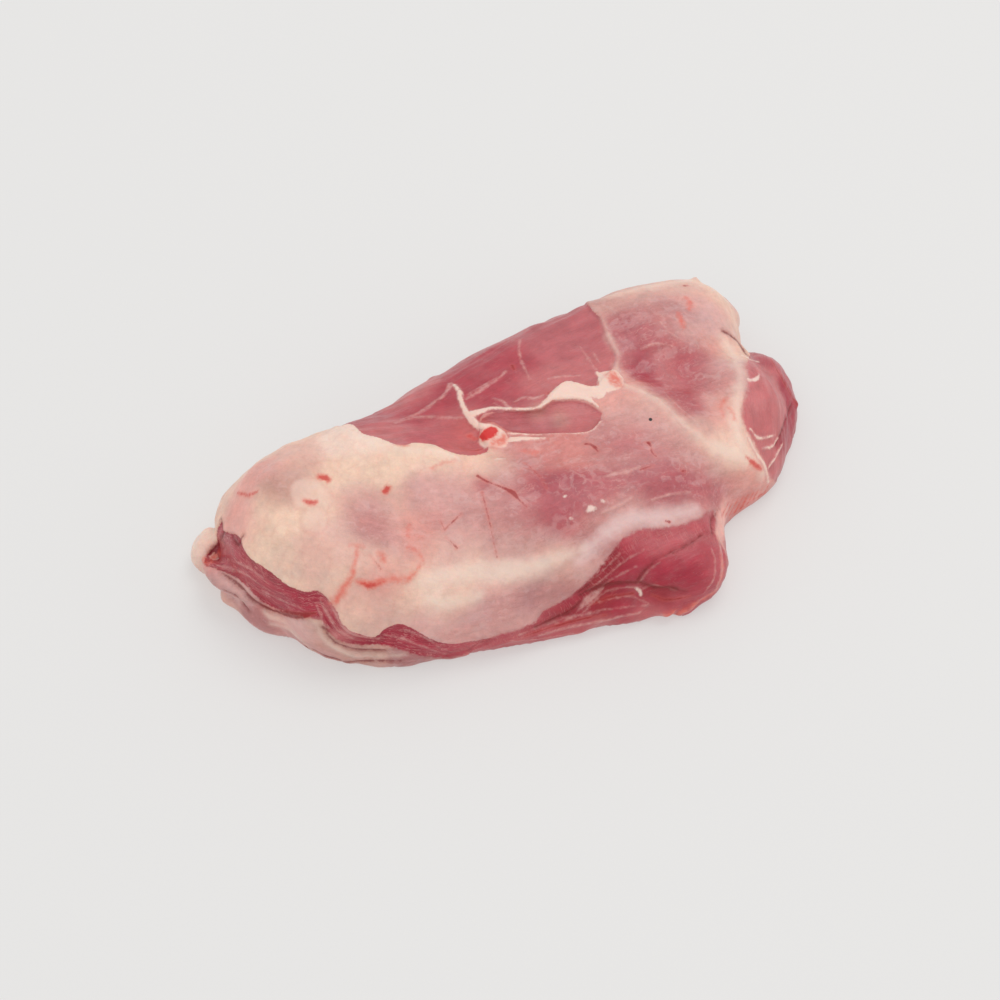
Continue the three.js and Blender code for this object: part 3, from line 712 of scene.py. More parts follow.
MUSCLE_WASHES = (
    Wash("flank", Tone.PINK, ((560, 350), (590, 340), (540, 345), (575, 330), (590, 320))),
    Wash("pale part of the flank", Tone.SALMON,
        seen=((560, 372), (400, 425), (470, 446), (384, 430), (596, 360), (538, 384), (440, 421),
              (412, 394))),
    Wash("red of the flank", Tone.RUBY, ((500, 375), (480, 370), (520, 360), (470, 385), (500, 395))),
    Wash("left of the flank", Tone.RUBY, ((430, 405), (446, 398), (416, 418))),
    Wash("tip of the flank", Tone.BRICK, ((375, 417),), spread_mm=6),
    Wash("flank beside the clot", Tone.CORAL, ((460, 436), (474, 430))),
    Wash("flank beside the fat", Tone.WINE, ((445, 431), (420, 432), (476, 440), (520, 400))),
    Wash("between the sinews", Tone.PINK, ((530, 425), (505, 422), (545, 428))),
    Wash("pale middle between them", Tone.SALMON, ((585, 414), (575, 424))),
    Wash("palest part between them", Tone.TAN, ((561, 420), (536, 412)), spread_mm=4),
    Wash("dark front", Tone.CLARET,
        seen=((690, 570), (634, 562), (670, 580), (580, 615), (650, 572), (622, 600), (640, 582),
              (700, 576))),
    Wash("darkest front", Tone.GARNET, spread_mm=5,
        seen=((560, 622), (590, 606), (612, 596), (536, 632), (652, 590), (600, 592), (664, 594),
              (618, 562), (600, 610), (574, 616))),
    Wash("middle of the front", Tone.RUBY,
        seen=((640, 604), (680, 598), (700, 558), (500, 641), (540, 622), (714, 590))),
    Wash("striped front", Tone.WINE, ((660, 546), (642, 545), (690, 540), (702, 530))),
    Wash("front lip", Tone.WINE, ((560, 630), (716, 570), (480, 648), (536, 636))),
    Wash("pale front lip", Tone.SALMON, spread_mm=5,
        seen=((520, 642), (600, 624), (642, 613), (575, 630), (660, 614))),
    Wash("left of the band", Tone.RUBY, ((260, 575), (230, 560), (244, 566))),
    Wash("band", Tone.CLARET,
        seen=((300, 600), (400, 642), (450, 650), (315, 606), (430, 646), (280, 592), (370, 642))),
    Wash("fold of the band", Tone.SALMON, ((332, 606), (350, 634)), spread_mm=5),
    Wash("shade of the fold", Tone.CLARET, ((335, 619), (338, 624)), spread_mm=4),
    Wash("end", Tone.SALMON, ((770, 390), (775, 420), (765, 376), (765, 440), (772, 465), (776, 478))),
    Wash("rim of the end", Tone.CLARET, spread_mm=4,
        seen=((796, 406), (790, 422), (787, 430), (781, 444), (790, 392))),
    Wash("far side", Tone.PINK, hidden_mm=((60, 90, 10), (0, 88, 10), (-50, 76, 12)), spread_mm=16),
    Wash("front underneath", Tone.WINE, spread_mm=14,
        hidden_mm=((70, -62, 0), (40, -66, 0), (0, -62, 0), (-58, -54, 0))),
    Wash("end underneath", Tone.BRICK, hidden_mm=((116, -34, 0), (138, -8, 0), (138, 18, 0)), spread_mm=12),
)

COVER_GRAIN: Pixels = ((225, 510), (330, 520), (430, 545), (520, 530), (600, 490), (680, 470), (750, 460))


@dataclass(frozen=True)
class PhotoCamera:
    """The camera that took the photograph, through which the scene is framed."""

    azimuth: float = -27.0
    elevation: float = 52.0
    distance: float = 1.18
    lens: float = 85.0
    sensor: float = 36.0
    clip_start: float = 0.05
    aim_mm: tuple[float, float, float] = (-6.5, 16.2, 0.0)

    @property
    def back(self) -> Vector:
        """Direction from what the camera looks at towards the camera.

        Returns:
            The direction, of length 1.
        """
        turn = math.radians(self.azimuth)
        rise = math.radians(self.elevation)
        return Vector((math.sin(turn) * math.cos(rise), -math.cos(turn) * math.cos(rise), math.sin(rise)))

    @property
    def right(self) -> Vector:
        """Direction to the right in the picture."""
        turn = math.radians(self.azimuth)
        return Vector((math.cos(turn), math.sin(turn), 0.0))

    @property
    def up(self) -> Vector:
        """Direction up in the picture."""
        return self.back.cross(self.right)

    @property
    def place_mm(self) -> Vector:
        """Where the camera stands, in millimetres."""
        return Vector(self.aim_mm) + self.back * (self.distance / MM)

    def ray(self, pixel: Sequence[float]) -> Vector:
        """Finds the direction in which the camera sees a pixel.

        Args:
            pixel: Pixel of the photograph, counted from its top left corner.

        Returns:
            The direction, of length 1.
        """
        focal = self.lens / self.sensor * PHOTO_SIDE
        across = (pixel[0] - PHOTO_SIDE / 2) / focal
        down = (pixel[1] - PHOTO_SIDE / 2) / focal
        return (self.right * across - self.up * down - self.back).normalized()

    def build(self) -> bpy.types.Object:
        """Makes the camera, and has the scene look through it.

        Returns:
            The camera.
        """
        bpy.ops.object.camera_add()
        camera = bpy.context.object
        camera.name = "photo_camera"
        camera.data.lens = self.lens
        camera.data.sensor_width = self.sensor
        camera.data.clip_start = self.clip_start
        turned = Matrix((self.right, self.up, self.back)).transposed().to_4x4()
        camera.matrix_world = Matrix.Translation(self.place_mm * MM) @ turned
        bpy.context.scene.camera = camera
        log.info("camera stands %.2f m away, %.0f degrees up", self.distance, self.elevation)
        return camera


def smooth_line(points: np.ndarray, step: float) -> np.ndarray:
    """Draws a smooth curve through points.

    Args:
        points: Points in the order of the line, one a row.
        step: Largest distance between two points of the result.

    Returns:
        Points along the curve, one a row.
    """
    padded = np.vstack([2 * points[0] - points[1], points, 2 * points[-1] - points[-2]])
    drawn = [points[:1]]
    for a, b, c, d in zip(padded, padded[1:], padded[2:], padded[3:]):
        count = max(1, math.ceil(np.linalg.norm(c - b) / step))
        t = (np.arange(1, count + 1) / count)[:, None]
        curve = 2 * b + (c - a) * t + (2 * a - 5 * b + 4 * c - d) * t**2 + (3 * b - a - 3 * c + d) * t**3
        drawn.append(curve / 2)
    return np.vstack(drawn)


def step_up(value: np.ndarray, low: float, high: float) -> np.ndarray:
    """Rises smoothly from 0 where value is low to 1 where it is high.

    Args:
        value: Numbers to look at.
        low: Where the rise starts.
        high: Where it ends.

    Returns:
        Shares from 0 to 1.
    """
    t = np.clip((value - low) / (high - low), 0, 1)
    return t * t * (3 - 2 * t)


def inside(points: np.ndarray, ring: np.ndarray) -> np.ndarray:
    """Says which flat points lie within a closed ring.

    Args:
        points: Points to test, one a row.
        ring: Corners of the ring, one a row.

    Returns:
        True for each point within the ring.
    """
    found = np.zeros(len(points), bool)
    x, y = points.T
    for (x0, y0), (x1, y1) in zip(ring, np.roll(ring, -1, axis=0)):
        if y0 != y1:
            crosses = (y0 > y) != (y1 > y)
            found ^= crosses & (x < (x1 - x0) * (y - y0) / (y1 - y0) + x0)
    return found


def lumps(places: np.ndarray, size_mm: float | Sequence[float], seed: int) -> np.ndarray:
    """Gives soft random lumps over places.

    Args:
        places: Places in mm, one a row.
        size_mm: Size of a lump, or its sizes along the three axes.
        seed: Which set of lumps.

    Returns:
        Heights from about -1 to 1, one for each place.
    """
    seed_step = 17.3
    moved = places / np.asarray(size_mm, float) + seed * seed_step
    return np.array([noise.noise(p) for p in moved.tolist()])


class Surface:
    """The skin's points and faces in mm, with what is needed to lay lines on them."""

    def __init__(self, mesh: bpy.types.Mesh, camera: PhotoCamera) -> None:
        """Reads the mesh.

        Args:
            mesh: The skin's mesh, in metres.
            camera: The photograph's camera.
        """
        self.camera = camera
        self.places = self.read(mesh.vertices, "co") / MM
        self.normals = self.read(mesh.vertices, "normal")
        faces = [tuple(face.vertices) for face in mesh.polygons]
        self.tree = BVHTree.FromPolygons(self.places.tolist(), faces)

    @staticmethod
    def read(items: bpy.types.bpy_prop_collection, key: str) -> np.ndarray:
        """Reads one vector of each item.

        Args:
            items: The mesh's vertices.
            key: Name of the vector.

        Returns:
            The vectors, one a row.
        """
        values = np.empty(len(items) * 3, np.float32)
        items.foreach_get(key, values)
        return values.reshape(-1, 3).astype(float)

    def cast(self, pixel: Sequence[float]) -> np.ndarray:
        """Finds the place on the skin that shows at a pixel, or the nearest one beside the skin's outline.

        Args:
            pixel: Pixel of the photograph.

        Returns:
            The place in mm.
        """
        start = self.camera.place_mm
        ray = self.camera.ray(pixel)
        hit = self.tree.ray_cast(start, ray)[0]
        if hit is None:
            least, most, step = 0.85, 1.15, 0.01
            reach = np.arange(least, most, step) * self.camera.distance / MM
            near = [self.tree.find_nearest(start + ray * length) for length in reach]
            hit = min(near, key=lambda found: found[3])[0]
        return np.array(hit)

    def seen_line(self, pixels: Pixels) -> np.ndarray:
        """Lays a smooth line of the photograph on the skin, in mm."""
        return np.array([self.cast(pixel) for pixel in smooth_line(np.array(pixels, float), SEEN_STEP_PX)])

    def hidden_line(self, points: np.ndarray) -> np.ndarray:
        """Lays a smooth line through places that the photograph doesn't show on the skin, in mm."""
        return np.array([self.tree.find_nearest(p)[0] for p in smooth_line(points, HIDDEN_STEP_MM)])

    def line(self, stroke: Stroke) -> np.ndarray:
        """Lays a stroke on the skin.

        Args:
            stroke: The stroke.

        Returns:
            Places along it, in mm.
        """
        if stroke.seen:
            return self.seen_line(stroke.seen)
        return self.hidden_line(np.array(stroke.hidden_mm, dtype=float))

    def edge(self, patch: Patch) -> np.ndarray:
        """Lays a muscle's whole edge on the skin.

        Args:
            patch: The muscle.

        Returns:
            Places along the closed edge, in mm.
        """
        seen = self.seen_line(patch.seen)
        hidden = np.array([seen[-1], *patch.hidden_mm, seen[0]], float)
        return np.vstack([seen, self.hidden_line(hidden)])


def tree_of(points: np.ndarray) -> KDTree:
    """Makes a search tree of places.

    Args:
        points: Places, one a row.

    Returns:
        The tree.
    """
    tree = KDTree(len(points))
    for index, point in enumerate(points.tolist()):
        tree.insert(point, index)
    tree.balance()
    return tree


def nearest(places: np.ndarray, points: np.ndarray) -> tuple[np.ndarray, np.ndarray]:
    """Finds the nearest of some points for each place.

    Args:
        places: Places in mm, one a row.
        points: Points to choose from, one a row.

    Returns:
        Which point is nearest to each place, and how far away it is.
    """
    tree = tree_of(points)
    found = [tree.find(place)[1:] for place in places.tolist()]
    return np.array([index for index, _ in found]), np.array([gap for _, gap in found])


@dataclass(frozen=True)
class Chart:
    """A flat map of the whole skin, with the top in its middle and the underside round its rim."""

    centre_mm: tuple[float, float, float] = (0.0, 0.0, 20.0)
    half_sizes_mm: tuple[float, float, float] = (159.0, 89.0, 50.0)

    def flat(self, places: np.ndarray) -> np.ndarray:
        """Finds places on the map.

        Args:
            places: Places on the skin, in mm, one a row.

        Returns:
            Places on the map, one a row.
        """
        away = (places - self.centre_mm) / self.half_sizes_mm
        away /= np.linalg.norm(away, axis=1, keepdims=True) + TINY
        fall = np.arccos(np.clip(away[:, 2], -1, 1))
        turn = np.arctan2(away[:, 1], away[:, 0])
        return np.stack([fall * np.cos(turn), fall * np.sin(turn)], axis=1)


@dataclass(frozen=True)
class Relief:
    """Heights in mm that the skin's details stand out or lie in, and the sizes in mm of its lumps."""

    sinew: float = 0.7
    veil: float = 0.4
    seam: float = 0.35
    clot: float = 0.5
    speck: float = 0.5
    lobule: float = 0.45
    silver: float = 0.2
    stain: float = 0.1
    crease: float = 0.55
    bundles: float = 0.5
    bundle_size: tuple[float, float, float] = (26, 4.2, 4.2)
    fibre_size: tuple[float, float, float] = (14, 2.2, 2.2)
    fat: float = 0.6
    fat_lump_size: float = 11
    fat_grain_size: float = 4.5
    lip: float = 0.35
    lip_away: float = 1.6
    lip_width: float = 1.5
    edge: tuple[float, float] = (-1.0, 0.9)


class Fields:
    """What each point of the skin needs to know: its muscles, marks, grain and tones."""

    def __init__(self, surface: Surface, chart: Chart) -> None:
        """Works out every field.

        Args:
            surface: The finished mesh, before its relief.
            chart: Flat map of the skin.
        """
        self.surface = surface
        self.places = surface.places
        self.charted = chart.flat(self.places)
        self.chart = chart
        self.cuts = {patch.cut: self.depth_in(patch) for patch in PATCHES}
        self.marks = {mark: self.depth_in_strokes(mark) for mark in Mark}
        self.cover_grain = self.grain_along(surface.seen_line(COVER_GRAIN))
        self.muscle_grain = self.grain_of_muscles()
        self.cover_tone = self.tones(COVER_WASHES)
        self.muscle_tone = self.tones(MUSCLE_WASHES)

    def depth_in(self, patch: Patch) -> np.ndarray:
        """Says how far inside a muscle's edge each point lies, in mm, and below 0 outside it.

        Args:
            patch: The muscle.

        Returns:
            One depth for each point.
        """
        depth = self.depth_in_ring(self.surface.edge(patch))
        log.info("%s: %d points", patch.name, (depth > 0).sum())
        return depth

    def depth_in_ring(self, ring: np.ndarray) -> np.ndarray:
        """Says how far inside a closed line on the skin each point lies, in mm, and below 0 outside it.

        Args:
            ring: Places along the line, in mm.

        Returns:
            One depth for each point.
        """
        within = inside(self.charted, self.chart.flat(ring))
        gaps = nearest(self.places, ring)[1]
        return np.where(within, gaps, -gaps)

    def depth_in_strokes(self, mark: Mark) -> np.ndarray:
        """Says how far inside the marks of one kind each point lies, in mm, and below 0 outside them.

        Args:
            mark: Kind of stroke.

        Returns:
            One depth for each point.
        """
        strokes = [stroke for stroke in STROKES if stroke.mark is mark]
        depth = np.full(len(self.places), -FAR_OFF_MM)
        if strokes:
            lines = [self.surface.line(stroke) for stroke in strokes]
            shares = [np.linspace(0, 1, len(line)) for line in lines]
            steps = [np.linspace(0, 1, len(stroke.half_widths_mm)) for stroke in strokes]
            widths = [np.interp(a, b, stroke.half_widths_mm) for a, b, stroke in zip(shares, steps, strokes)]
            chosen, gaps = nearest(self.places, np.vstack(lines))
            depth = np.concatenate(widths)[chosen] - gaps
        for plate in (p for p in PLATES if p.mark is mark):
            ring = self.surface.seen_line(plate.seen + plate.seen[:1])
            depth = np.maximum(depth, self.depth_in_ring(ring))
        return depth

    def grain_along(self, line: np.ndarray) -> np.ndarray:
        """Gives each point its place along and across the fibres that run along a line.

        Args:
            line: Places along the fibres, in mm.

        Returns:
            The place along the fibres, across them, and 0, in mm, one row a point.
        """
        evened = 9
        steps = np.gradient(line, axis=0)
        steps = np.stack([np.convolve(s, np.ones(evened) / evened, mode="same") for s in steps.T], axis=1)
        steps /= np.linalg.norm(steps, axis=1, keepdims=True) + TINY
        run = np.concatenate([[0], np.cumsum(np.linalg.norm(np.diff(line, axis=0), axis=1))])
        up = np.array([self.surface.tree.find_nearest(point)[1] for point in line])
        chosen, gaps = nearest(self.places, line)
        away = self.places - line[chosen]
        side = np.sign(np.einsum("ij,ij->i", np.cross(up[chosen], steps[chosen]), away))
        ahead = np.einsum("ij,ij->i", steps[chosen], away)
        across = side * np.sqrt(np.maximum(gaps**2 - ahead**2, 0))
        return np.stack([run[chosen] + ahead, across, np.zeros(len(gaps))], axis=1)

    def grain_of_muscles(self) -> np.ndarray:
        """Gives each point the grain of the muscle that it lies in or nearest to.

        Returns:
            Places along and across the fibres, in mm, one row a point.
        """
        depths = np.stack([self.cuts[patch.cut] for patch in PATCHES])
        grains = np.stack([self.grain_along(self.surface.seen_line(patch.grain)) for patch in PATCHES])
        return grains[depths.argmax(axis=0), np.arange(len(self.places))]

    def tones(self, washes: Iterable[Wash]) -> np.ndarray:
        """Blends the tones of washes over the skin.

        Args:
            washes: The washes of one layer.

        Returns:
            A linear colour for each point.
        """
        least, far_share = 1e-12, 1e-4
        total = np.zeros((len(self.places), 3))
        weights = np.full((len(self.places), 1), least)
        for wash in washes:
            spots = [self.surface.cast(pixel) for pixel in wash.seen]
            for spot in [*spots, *map(np.array, wash.hidden_mm)]:
                gap = np.linalg.norm(self.places - spot, axis=1, keepdims=True) / wash.spread_mm
                weight = np.exp(-(gap**2)) + far_share / (1 + gap**4)
                total += weight * matt(wash.tone.value)
                weights += weight
        return total / weights

    def heights(self, relief: Relief) -> np.ndarray:
        """Works out how far each point stands out along its normal.

        Args:
            relief: Heights of the details.

        Returns:
            Heights in mm.
        """
        muscle = np.zeros(len(self.places))
        height = np.zeros(len(self.places))
        for patch in PATCHES:
            depth = self.cuts[patch.cut]
            bare = step_up(depth, -0.4 * patch.edge_blend_mm, patch.edge_blend_mm)
            muscle = np.maximum(muscle, bare)
            lip = np.exp(-(((depth + relief.lip_away) / relief.lip_width) ** 2))
            height += relief.lip * patch.sunk_mm * lip - patch.sunk_mm * bare
        height += muscle * relief.bundles * lumps(self.muscle_grain, relief.bundle_size, 1)
        height += muscle * relief.bundles * 0.5 * lumps(self.muscle_grain, relief.fibre_size, 2)
        height += (1 - muscle) * relief.fat * lumps(self.places, relief.fat_lump_size, 3)
        height += (1 - muscle) * relief.fat * 0.4 * lumps(self.places, relief.fat_grain_size, 4)
        for swell in SWELLS:
            gaps = nearest(self.places, np.array([self.surface.cast(pixel) for pixel in swell.seen]))[1]
            height += swell.rise_mm * np.exp(-((gaps / swell.spread_mm) ** 2))
        for mark, rise in {
            Mark.SINEW: relief.sinew,
            Mark.VEIL: relief.veil,
            Mark.CLOT: relief.clot,
            Mark.SEAM: relief.seam,
            Mark.SILVER: relief.silver,
            Mark.LOBULE: relief.lobule,
            Mark.STAIN: relief.stain,
            Mark.SPECK: relief.speck,
            Mark.CREASE: -relief.crease,
        }.items():
            height += rise * step_up(self.marks[mark], *relief.edge)
        return height


@dataclass
class MeatSkin:
    """The joint's whole surface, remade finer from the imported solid."""

    camera: PhotoCamera
    voxel_mm: float = 1.55
    softness: float = 0.5
    smoothing_rounds: int = 10
    fine_reach_mm: float = 2.6
    foot_mm: float = 0.35
    join_mm: float = 0.01
    relief: Relief = field(default_factory=Relief)
    chart: Chart = field(default_factory=Chart)

    def copied(self, node: bpy.types.Object) -> bpy.types.Object:
        """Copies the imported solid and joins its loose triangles.

        Args:
            node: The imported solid.

        Returns:
            The copy, alone and selected.
        """
        skin = node.copy()
        skin.data = node.data.copy()
        skin.animation_data_clear()
        for key in list(skin.keys()):
            del skin[key]
        skin.parent = None
        skin.name = "veal_skin"
        bpy.context.scene.collection.objects.link(skin)
        bpy.ops.object.select_all(action="DESELECT")
        skin.select_set(True)
        bpy.context.view_layer.objects.active = skin
        bpy.ops.object.mode_set(mode="EDIT")
        bpy.ops.mesh.select_all(action="SELECT")
        bpy.ops.mesh.remove_doubles(threshold=self.join_mm * MM)
        bpy.ops.mesh.normals_make_consistent(inside=False)
        bpy.ops.object.mode_set(mode="OBJECT")
        return skin

    def remeshed(self, skin: bpy.types.Object) -> None:
        """Gives the skin even small faces and softens the solid's corners.

        Args:
            skin: The copy of the solid, active and selected.
        """
        remesh = skin.modifiers.new("even_faces", "REMESH")
        remesh.mode = "VOXEL"
        remesh.voxel_size = self.voxel_mm * MM
        bpy.ops.object.modifier_apply(modifier=remesh.name)
        soften = skin.modifiers.new("soften", "SMOOTH")
        soften.factor = self.softness
        soften.iterations = self.smoothing_rounds
        bpy.ops.object.modifier_apply(modifier=soften.name)

    def refined(self, skin: bpy.types.Object) -> None:
        """Halves the faces near lines and muscle edges, which need sharper shapes.

        Args:
            skin: The remeshed skin, active and selected.
        """
        surface = Surface(skin.data, self.camera)
        lines = [surface.line(stroke) for stroke in STROKES]
        lines += [surface.seen_line(patch.seen) for patch in PATCHES]
        near = nearest(surface.places, np.vstack(lines))[1] < self.fine_reach_mm
        chosen = [bool(near[list(face.vertices)].all()) for face in skin.data.polygons]
        skin.data.polygons.foreach_set("select", chosen)
        bpy.ops.object.mode_set(mode="EDIT")
        bpy.ops.mesh.select_mode(type="FACE")
        bpy.ops.mesh.subdivide(number_cuts=1)
        bpy.ops.mesh.vertices_smooth(factor=self.softness, repeat=1)
        bpy.ops.object.mode_set(mode="OBJECT")
        log.info("skin has %d faces, %d of them refined", len(skin.data.polygons), sum(chosen))

    def store(self, mesh: bpy.types.Mesh, fields: Fields) -> None:
        """Writes the fields into the mesh, for its finish to read.

        Args:
            mesh: The skin's mesh.
            fields: What each point needs to know.
        """
        for kind, depth in [*fields.cuts.items(), *fields.marks.items()]:
            kept = mesh.attributes.new(kind.value, "FLOAT", "POINT")
            kept.data.foreach_set("value", np.clip(depth, -FAR_OFF_MM, FAR_OFF_MM).astype(np.float32))
        for name, grain in (("cover_grain", fields.cover_grain), ("muscle_grain", fields.muscle_grain)):
            kept = mesh.attributes.new(name, "FLOAT_VECTOR", "POINT")
            kept.data.foreach_set("vector", grain.astype(np.float32).ravel())
        for name, tone in (("cover_tone", fields.cover_tone), ("muscle_tone", fields.muscle_tone)):
            kept = mesh.color_attributes.new(name, "FLOAT_COLOR", "POINT")
            kept.data.foreach_set("color", np.c_[tone, np.ones(len(tone))].astype(np.float32).ravel())

    def shaped(self, skin: bpy.types.Object) -> None:
        """Raises the skin's details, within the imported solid's box and with its foot kept flat.

        Args:
            skin: The refined skin.
        """
        surface = Surface(skin.data, self.camera)
        fields = Fields(surface, self.chart)
        low, high = (np.array(corner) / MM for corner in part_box(NODE))
        foot = surface.places[:, 2] < self.foot_mm
        moved = surface.places + surface.normals * fields.heights(self.relief)[:, None]
        moved[foot, 2] = 0.0
        moved = np.clip(moved, low, high)
        skin.data.vertices.foreach_set("co", (moved * MM).astype(np.float32).ravel())
        skin.data.update()
        self.store(skin.data, fields)

    def build(self, node: bpy.types.Object, finish: "MeatFinish") -> bpy.types.Object:
        """Makes the skin and dresses it.

        Args:
            node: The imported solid.
            finish: The meat's finish.

        Returns:
            The skin.
        """
        skin = self.copied(node)
        self.remeshed(skin)
        self.refined(skin)
        self.shaped(skin)
        bpy.ops.object.shade_smooth()
        skin.data.materials.clear()
        dot = Surface(skin.data, self.camera).cast(finish.dot_seen)
        skin.data.materials.append(finish.material(Vector(dot)))
        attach(skin, "root")
        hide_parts(NODE)
        log.info("veal_skin built")
        return skin


@dataclass(frozen=True)
class Wire:
    """One value inside a material. It takes part in sums as a number does."""

    graph: "Graph"
    socket: bpy.types.NodeSocket

    @property
    def is_vector(self) -> bool:
        """Whether the value has three parts."""
        return self.socket.type in {"VECTOR", "RGBA"}

    def __add__(self, other: Value) -> "Wire":
        """Sum of two values."""
        return self.graph.maths("ADD", self, other)

    def __sub__(self, other: Value) -> "Wire":
        """Difference of two values."""
        return self.graph.maths("SUBTRACT", self, other)

    def __rsub__(self, other: Value) -> "Wire":
        """Difference of two values."""
        return self.graph.maths("SUBTRACT", other, self)

    def __mul__(self, other: Value) -> "Wire":
        """Product of two values."""
        return self.graph.maths("MULTIPLY", self, other)

    __radd__ = __add__
    __rmul__ = __mul__

    def at_least(self, other: Value) -> "Wire":
        """The larger of two values."""
        return self.graph.maths("MAXIMUM", self, other)

    def rise(self, low: float, high: float) -> "Wire":
        """Rises smoothly from 0 where the value is low to 1 where it is high.

        Args:
            low: Where the rise starts.
            high: Where it ends.

        Returns:
            A share from 0 to 1.
        """
        sockets = {"Value": self, "From Min": low, "From Max": high}
        return self.graph.wire("ShaderNodeMapRange", {"interpolation_type": "SMOOTHSTEP"}, sockets)

    def ridge(self, width: float) -> "Wire":
        """Draws a thin soft line where the value goes through 0.

        Args:
            width: How far from 0 the value may be on the line.

        Returns:
            1 on the line and 0 away from it.
        """
        size = self.graph.wire("ShaderNodeMath", {"operation": "ABSOLUTE"}, {0: self})
        return 1 - size.rise(0.0, width)


class Graph:
    """A material's nodes, built from values."""

    def __init__(self, name: str) -> None:
        """Starts a material with one shader.

        Args:
            name: Name of the material.
        """
        self.material = bpy.data.materials.new(name)
        self.material.use_nodes = True
        self.tree = self.material.node_tree
        self.shader = self.tree.nodes["Principled BSDF"]

    def plug(self, socket: bpy.types.NodeSocket, value: Value) -> None:
        """Gives a socket a value.

        Args:
            socket: The socket.
            value: A wire, a number, or the parts of a vector or colour.
        """
        if isinstance(value, Wire):
            self.tree.links.new(value.socket, socket)
        elif not hasattr(socket.default_value, "__len__"):
            socket.default_value = value
        elif isinstance(value, (int, float)):
            socket.default_value = [value] * 3
        else:
            socket.default_value = [*value, 1.0][: len(socket.default_value)]

    def wire(
        self,
        kind: str,
        settings: dict[str, object] | None = None,
        sockets: dict[str | int, Value] | None = None,
        output: str | int = 0,
    ) -> Wire:
        """Adds a node and takes one of its outputs.

        Args:
            kind: Blender's name of its type.
            settings: Values of its settings.
            sockets: Values of its inputs, by name or number.
            output: Name or number of the output.

        Returns:
            The output's value.
        """
        node = self.tree.nodes.new(kind)
        for key, value in (settings or {}).items():
            setattr(node, key, value)
        for key, value in (sockets or {}).items():
            self.plug(node.inputs[key], value)
        return Wire(self, node.outputs[output])

    def maths(self, operation: str, first: Value, second: Value) -> Wire:
        """Works out a sum of numbers, vectors or colours.

        Args:
            operation: Blender's name of the operation.
            first: First value.
            second: Second value.

        Returns:
            The result.
        """
        wires = [value for value in (first, second) if isinstance(value, Wire)]
        wide = any(wire.is_vector for wire in wires) or any(isinstance(v, tuple) for v in (first, second))
        kind = "ShaderNodeVectorMath" if wide else "ShaderNodeMath"
        return self.wire(kind, {"operation": operation}, {0: first, 1: second})

    def mix(self, share: Value, first: Value, second: Value) -> Wire:
        """Mixes two colours.

        Args:
            share: 0 for the first colour, 1 for the second.
            first: First colour.
            second: Second colour.

        Returns:
            The mixed colour.
        """
        factor, first_colour, second_colour, mixed_colour = 0, 6, 7, 2
        sockets = {factor: share, first_colour: first, second_colour: second}
        return self.wire("ShaderNodeMix", {"data_type": "RGBA"}, sockets, mixed_colour)

    def field(self, name: str, output: str = "Fac") -> Wire:
        """Reads what the mesh holds for each point.

        Args:
            name: Name of the attribute.
            output: Fac for a number, Vector for a place and Color for a tone.

        Returns:
            The value.
        """
        return self.wire("ShaderNodeAttribute", {"attribute_name": name}, output=output)

    def grain(self, place: Wire, size_mm: float, detail: float = 2.0, seed: float = 0.0) -> Wire:
        """Gives soft random variation.

        Args:
            place: Where to look, in mm.
            size_mm: Size of the variation.
            detail: How many finer layers it has.
            seed: Shift that makes it differ from others of its size.

        Returns:
            A number round 0, mostly from -0.3 to 0.3.
        """
        seed_step, middle = (31.7, 11.3, 23.9), 0.5
        shifted = place + tuple(seed * step for step in seed_step)
        sockets = {"Vector": shifted, "Scale": 1 / size_mm, "Detail": detail}
        return self.wire("ShaderNodeTexNoise", sockets=sockets) - middle

    def fibres(self, run: Wire, along: float, across: float, detail: float, seed: float) -> Wire:
        """Gives soft random variation that is drawn out along fibres.

        Args:
            run: Place along and across the fibres, in mm.
            along: Changes for each mm along them.
            across: Changes for each mm across them.
            detail: How many finer layers it has.
            seed: Shift that makes it differ from others.

        Returns:
            A number round 0, mostly from -0.3 to 0.3.
        """
        return self.grain(run * (along, across, 1.0), 1.0, detail, seed)

    def cells(self, place: Wire, size_mm: float) -> Wire:
        """Gives the distance to the nearest border of rounded cells.

        Args:
            place: Where to look, in mm.
            size_mm: Size of a cell.

        Returns:
            The distance, as a share of a cell's size.
        """
        sockets = {"Vector": place, "Scale": 1 / size_mm}
        return self.wire("ShaderNodeTexVoronoi", {"feature": "DISTANCE_TO_EDGE"}, sockets)

    def part(self, colour: Wire, index: int) -> Wire:
        """One part of a colour, by its number."""
        return self.wire("ShaderNodeSeparateColor", sockets={0: colour}, output=index)


